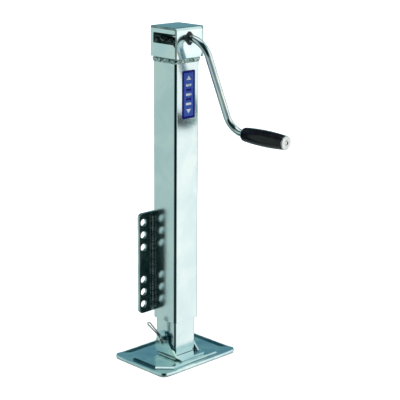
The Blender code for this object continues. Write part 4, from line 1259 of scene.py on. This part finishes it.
def studio_world():
    """The soft surround that the bright metal shows.

    It is grey green, with a nearly black patch in front, blue grey behind, a pale grey
    side on the left, a white one on the right, pale ground below and a white panel in a
    dark ring overhead. Seen directly it is white, like the floor.
    """
    world = bpy.data.worlds.new("soft_studio")
    world.use_nodes = True
    bpy.context.scene.world = world
    tree = world.node_tree
    background = tree.nodes["Background"]
    coords = tree.nodes.new("ShaderNodeTexCoord")

    def along(direction, low, high):
        """A smooth 0 to 1 step on how far a direction points along another."""
        dot = tree.nodes.new("ShaderNodeVectorMath")
        dot.operation = "DOT_PRODUCT"
        dot.inputs[1].default_value = Vector(direction).normalized()
        tree.links.new(coords.outputs["Generated"], dot.inputs[0])
        step = tree.nodes.new("ShaderNodeMapRange")
        step.interpolation_type = "SMOOTHSTEP"
        step.inputs["From Min"].default_value = low
        step.inputs["From Max"].default_value = high
        tree.links.new(dot.outputs["Value"], step.inputs["Value"])
        return step.outputs["Result"]

    def over(share, under, color):
        mix = tree.nodes.new("ShaderNodeMixRGB")
        tree.links.new(share, mix.inputs["Fac"])
        if isinstance(under, tuple):
            mix.inputs["Color1"].default_value = (*under, 1.0)
        else:
            tree.links.new(under, mix.inputs["Color1"])
        mix.inputs["Color2"].default_value = (*color, 1.0)
        return mix.outputs["Color"]

    # Each patch's direction, the steps where it starts and is full, and its colour
    patches = [
        ((1.0, -1.0, 0.0), 0.66, 0.82, (0.003, 0.014, 0.013)),
        ((-1.0, 1.0, 0.0), 0.45, 0.85, (0.14, 0.29, 0.34)),
        ((0.0, 0.0, -1.0), 0.60, 0.85, (0.62, 0.72, 0.72)),
        ((0.0, 0.0, 1.0), 0.40, 0.62, (0.010, 0.045, 0.060)),
        ((-1.0, -1.0, 0.0), 0.78, 0.92, (0.46, 0.59, 0.57)),
        ((1.0, 1.0, 0.0), 0.78, 0.92, (1.02, 1.04, 1.03)),
        ((0.25, 0.75, 0.60), 0.82, 0.95, (0.66, 0.80, 0.80)),
        ((0.0, 0.0, 1.0), 0.82, 0.95, (1.0, 1.04, 1.04)),
    ]
    surround = (0.27, 0.35, 0.35)
    for direction, low, high, color in patches:
        surround = over(along(direction, low, high), surround, color)
    paths = tree.nodes.new("ShaderNodeLightPath")
    seen = over(paths.outputs["Is Camera Ray"], surround, (1.0, 1.0, 1.0))
    tree.links.new(seen, background.inputs["Color"])


def soft_sun():
    """Even light from above, spread so wide that its shadows have no edges."""
    light = bpy.data.lights.new("soft_top_light", "SUN")
    light.energy = 4.2
    light.angle = math.radians(60.0)
    obj = added("soft_top_light", light)
    obj.rotation_euler = (math.radians(12.0), math.radians(10.0), 0.0)
    obj.visible_glossy = False


def camera():
    """The camera looks down a little at the crank-side front corner."""
    azimuth = math.radians(45.37)
    elevation = math.radians(14.97)
    roll = math.radians(0.45)
    distance = 2.4689
    target = Vector((0.0716, 0.0334, 0.1265))
    back = Vector((
        math.sin(azimuth) * math.cos(elevation),
        -math.cos(azimuth) * math.cos(elevation),
        math.sin(elevation),
    ))
    data = bpy.data.cameras.new("camera")
    data.sensor_width = 36.0
    data.lens = 113.5
    obj = added("camera", data)
    turn = back.to_track_quat("Z", "Y").to_matrix() @ Matrix.Rotation(roll, 3, "Z")
    obj.matrix_world = Matrix.Translation(target + back * distance) @ turn.to_4x4()
    bpy.context.scene.camera = obj


def build_housing():
    square_tube("drawn_outer_tube", "outer_tube", 3.35 * MM, TUBE_CORNER_R, "housing")
    mounting_plate()
    weld_bead("plate_weld_bead_near", "plate_weld_left", 2, "housing", 1.0, PLATE_WELD_PAINTED_SHADE, 0.26)
    weld_bead("plate_weld_bead_far", "plate_weld_right", 2, "housing", 2.0, PLATE_WELD_PAINTED_SHADE, 0.26)
    gear_housing()
    front_wall()
    rear_wall()
    head_weld()
    crank_bushing()
    ring_piece("rear_nylon_bushing", "rear_bushing", NYLON, "housing")
    label()


def build_crank():
    crank_rod()
    grip()
    grip_end_cap()
    ring_piece("rear_push_ring", "rear_retainer", ROD_ZINC, "crank")
    ring_piece("grip_stop_washer", "grip_washer", ROD_ZINC, "crank")


def build_ram():
    inner_tube()
    foot_bracket()
    foot_plate()
    weld_bead("foot_weld_bead_near", "foot_weld_left", 0, "ram", 5.0, FOOT_ZINC, 0.05)
    weld_bead("foot_weld_bead_far", "foot_weld_right", 0, "ram", 6.0, FOOT_ZINC, 0.05)
    clevis_pin()
    hairpin_clip()


build_housing()
build_crank()
build_ram()
carried_over()
floor()
studio_world()
soft_sun()
camera()
bpy.context.scene.view_settings.view_transform = "Standard"
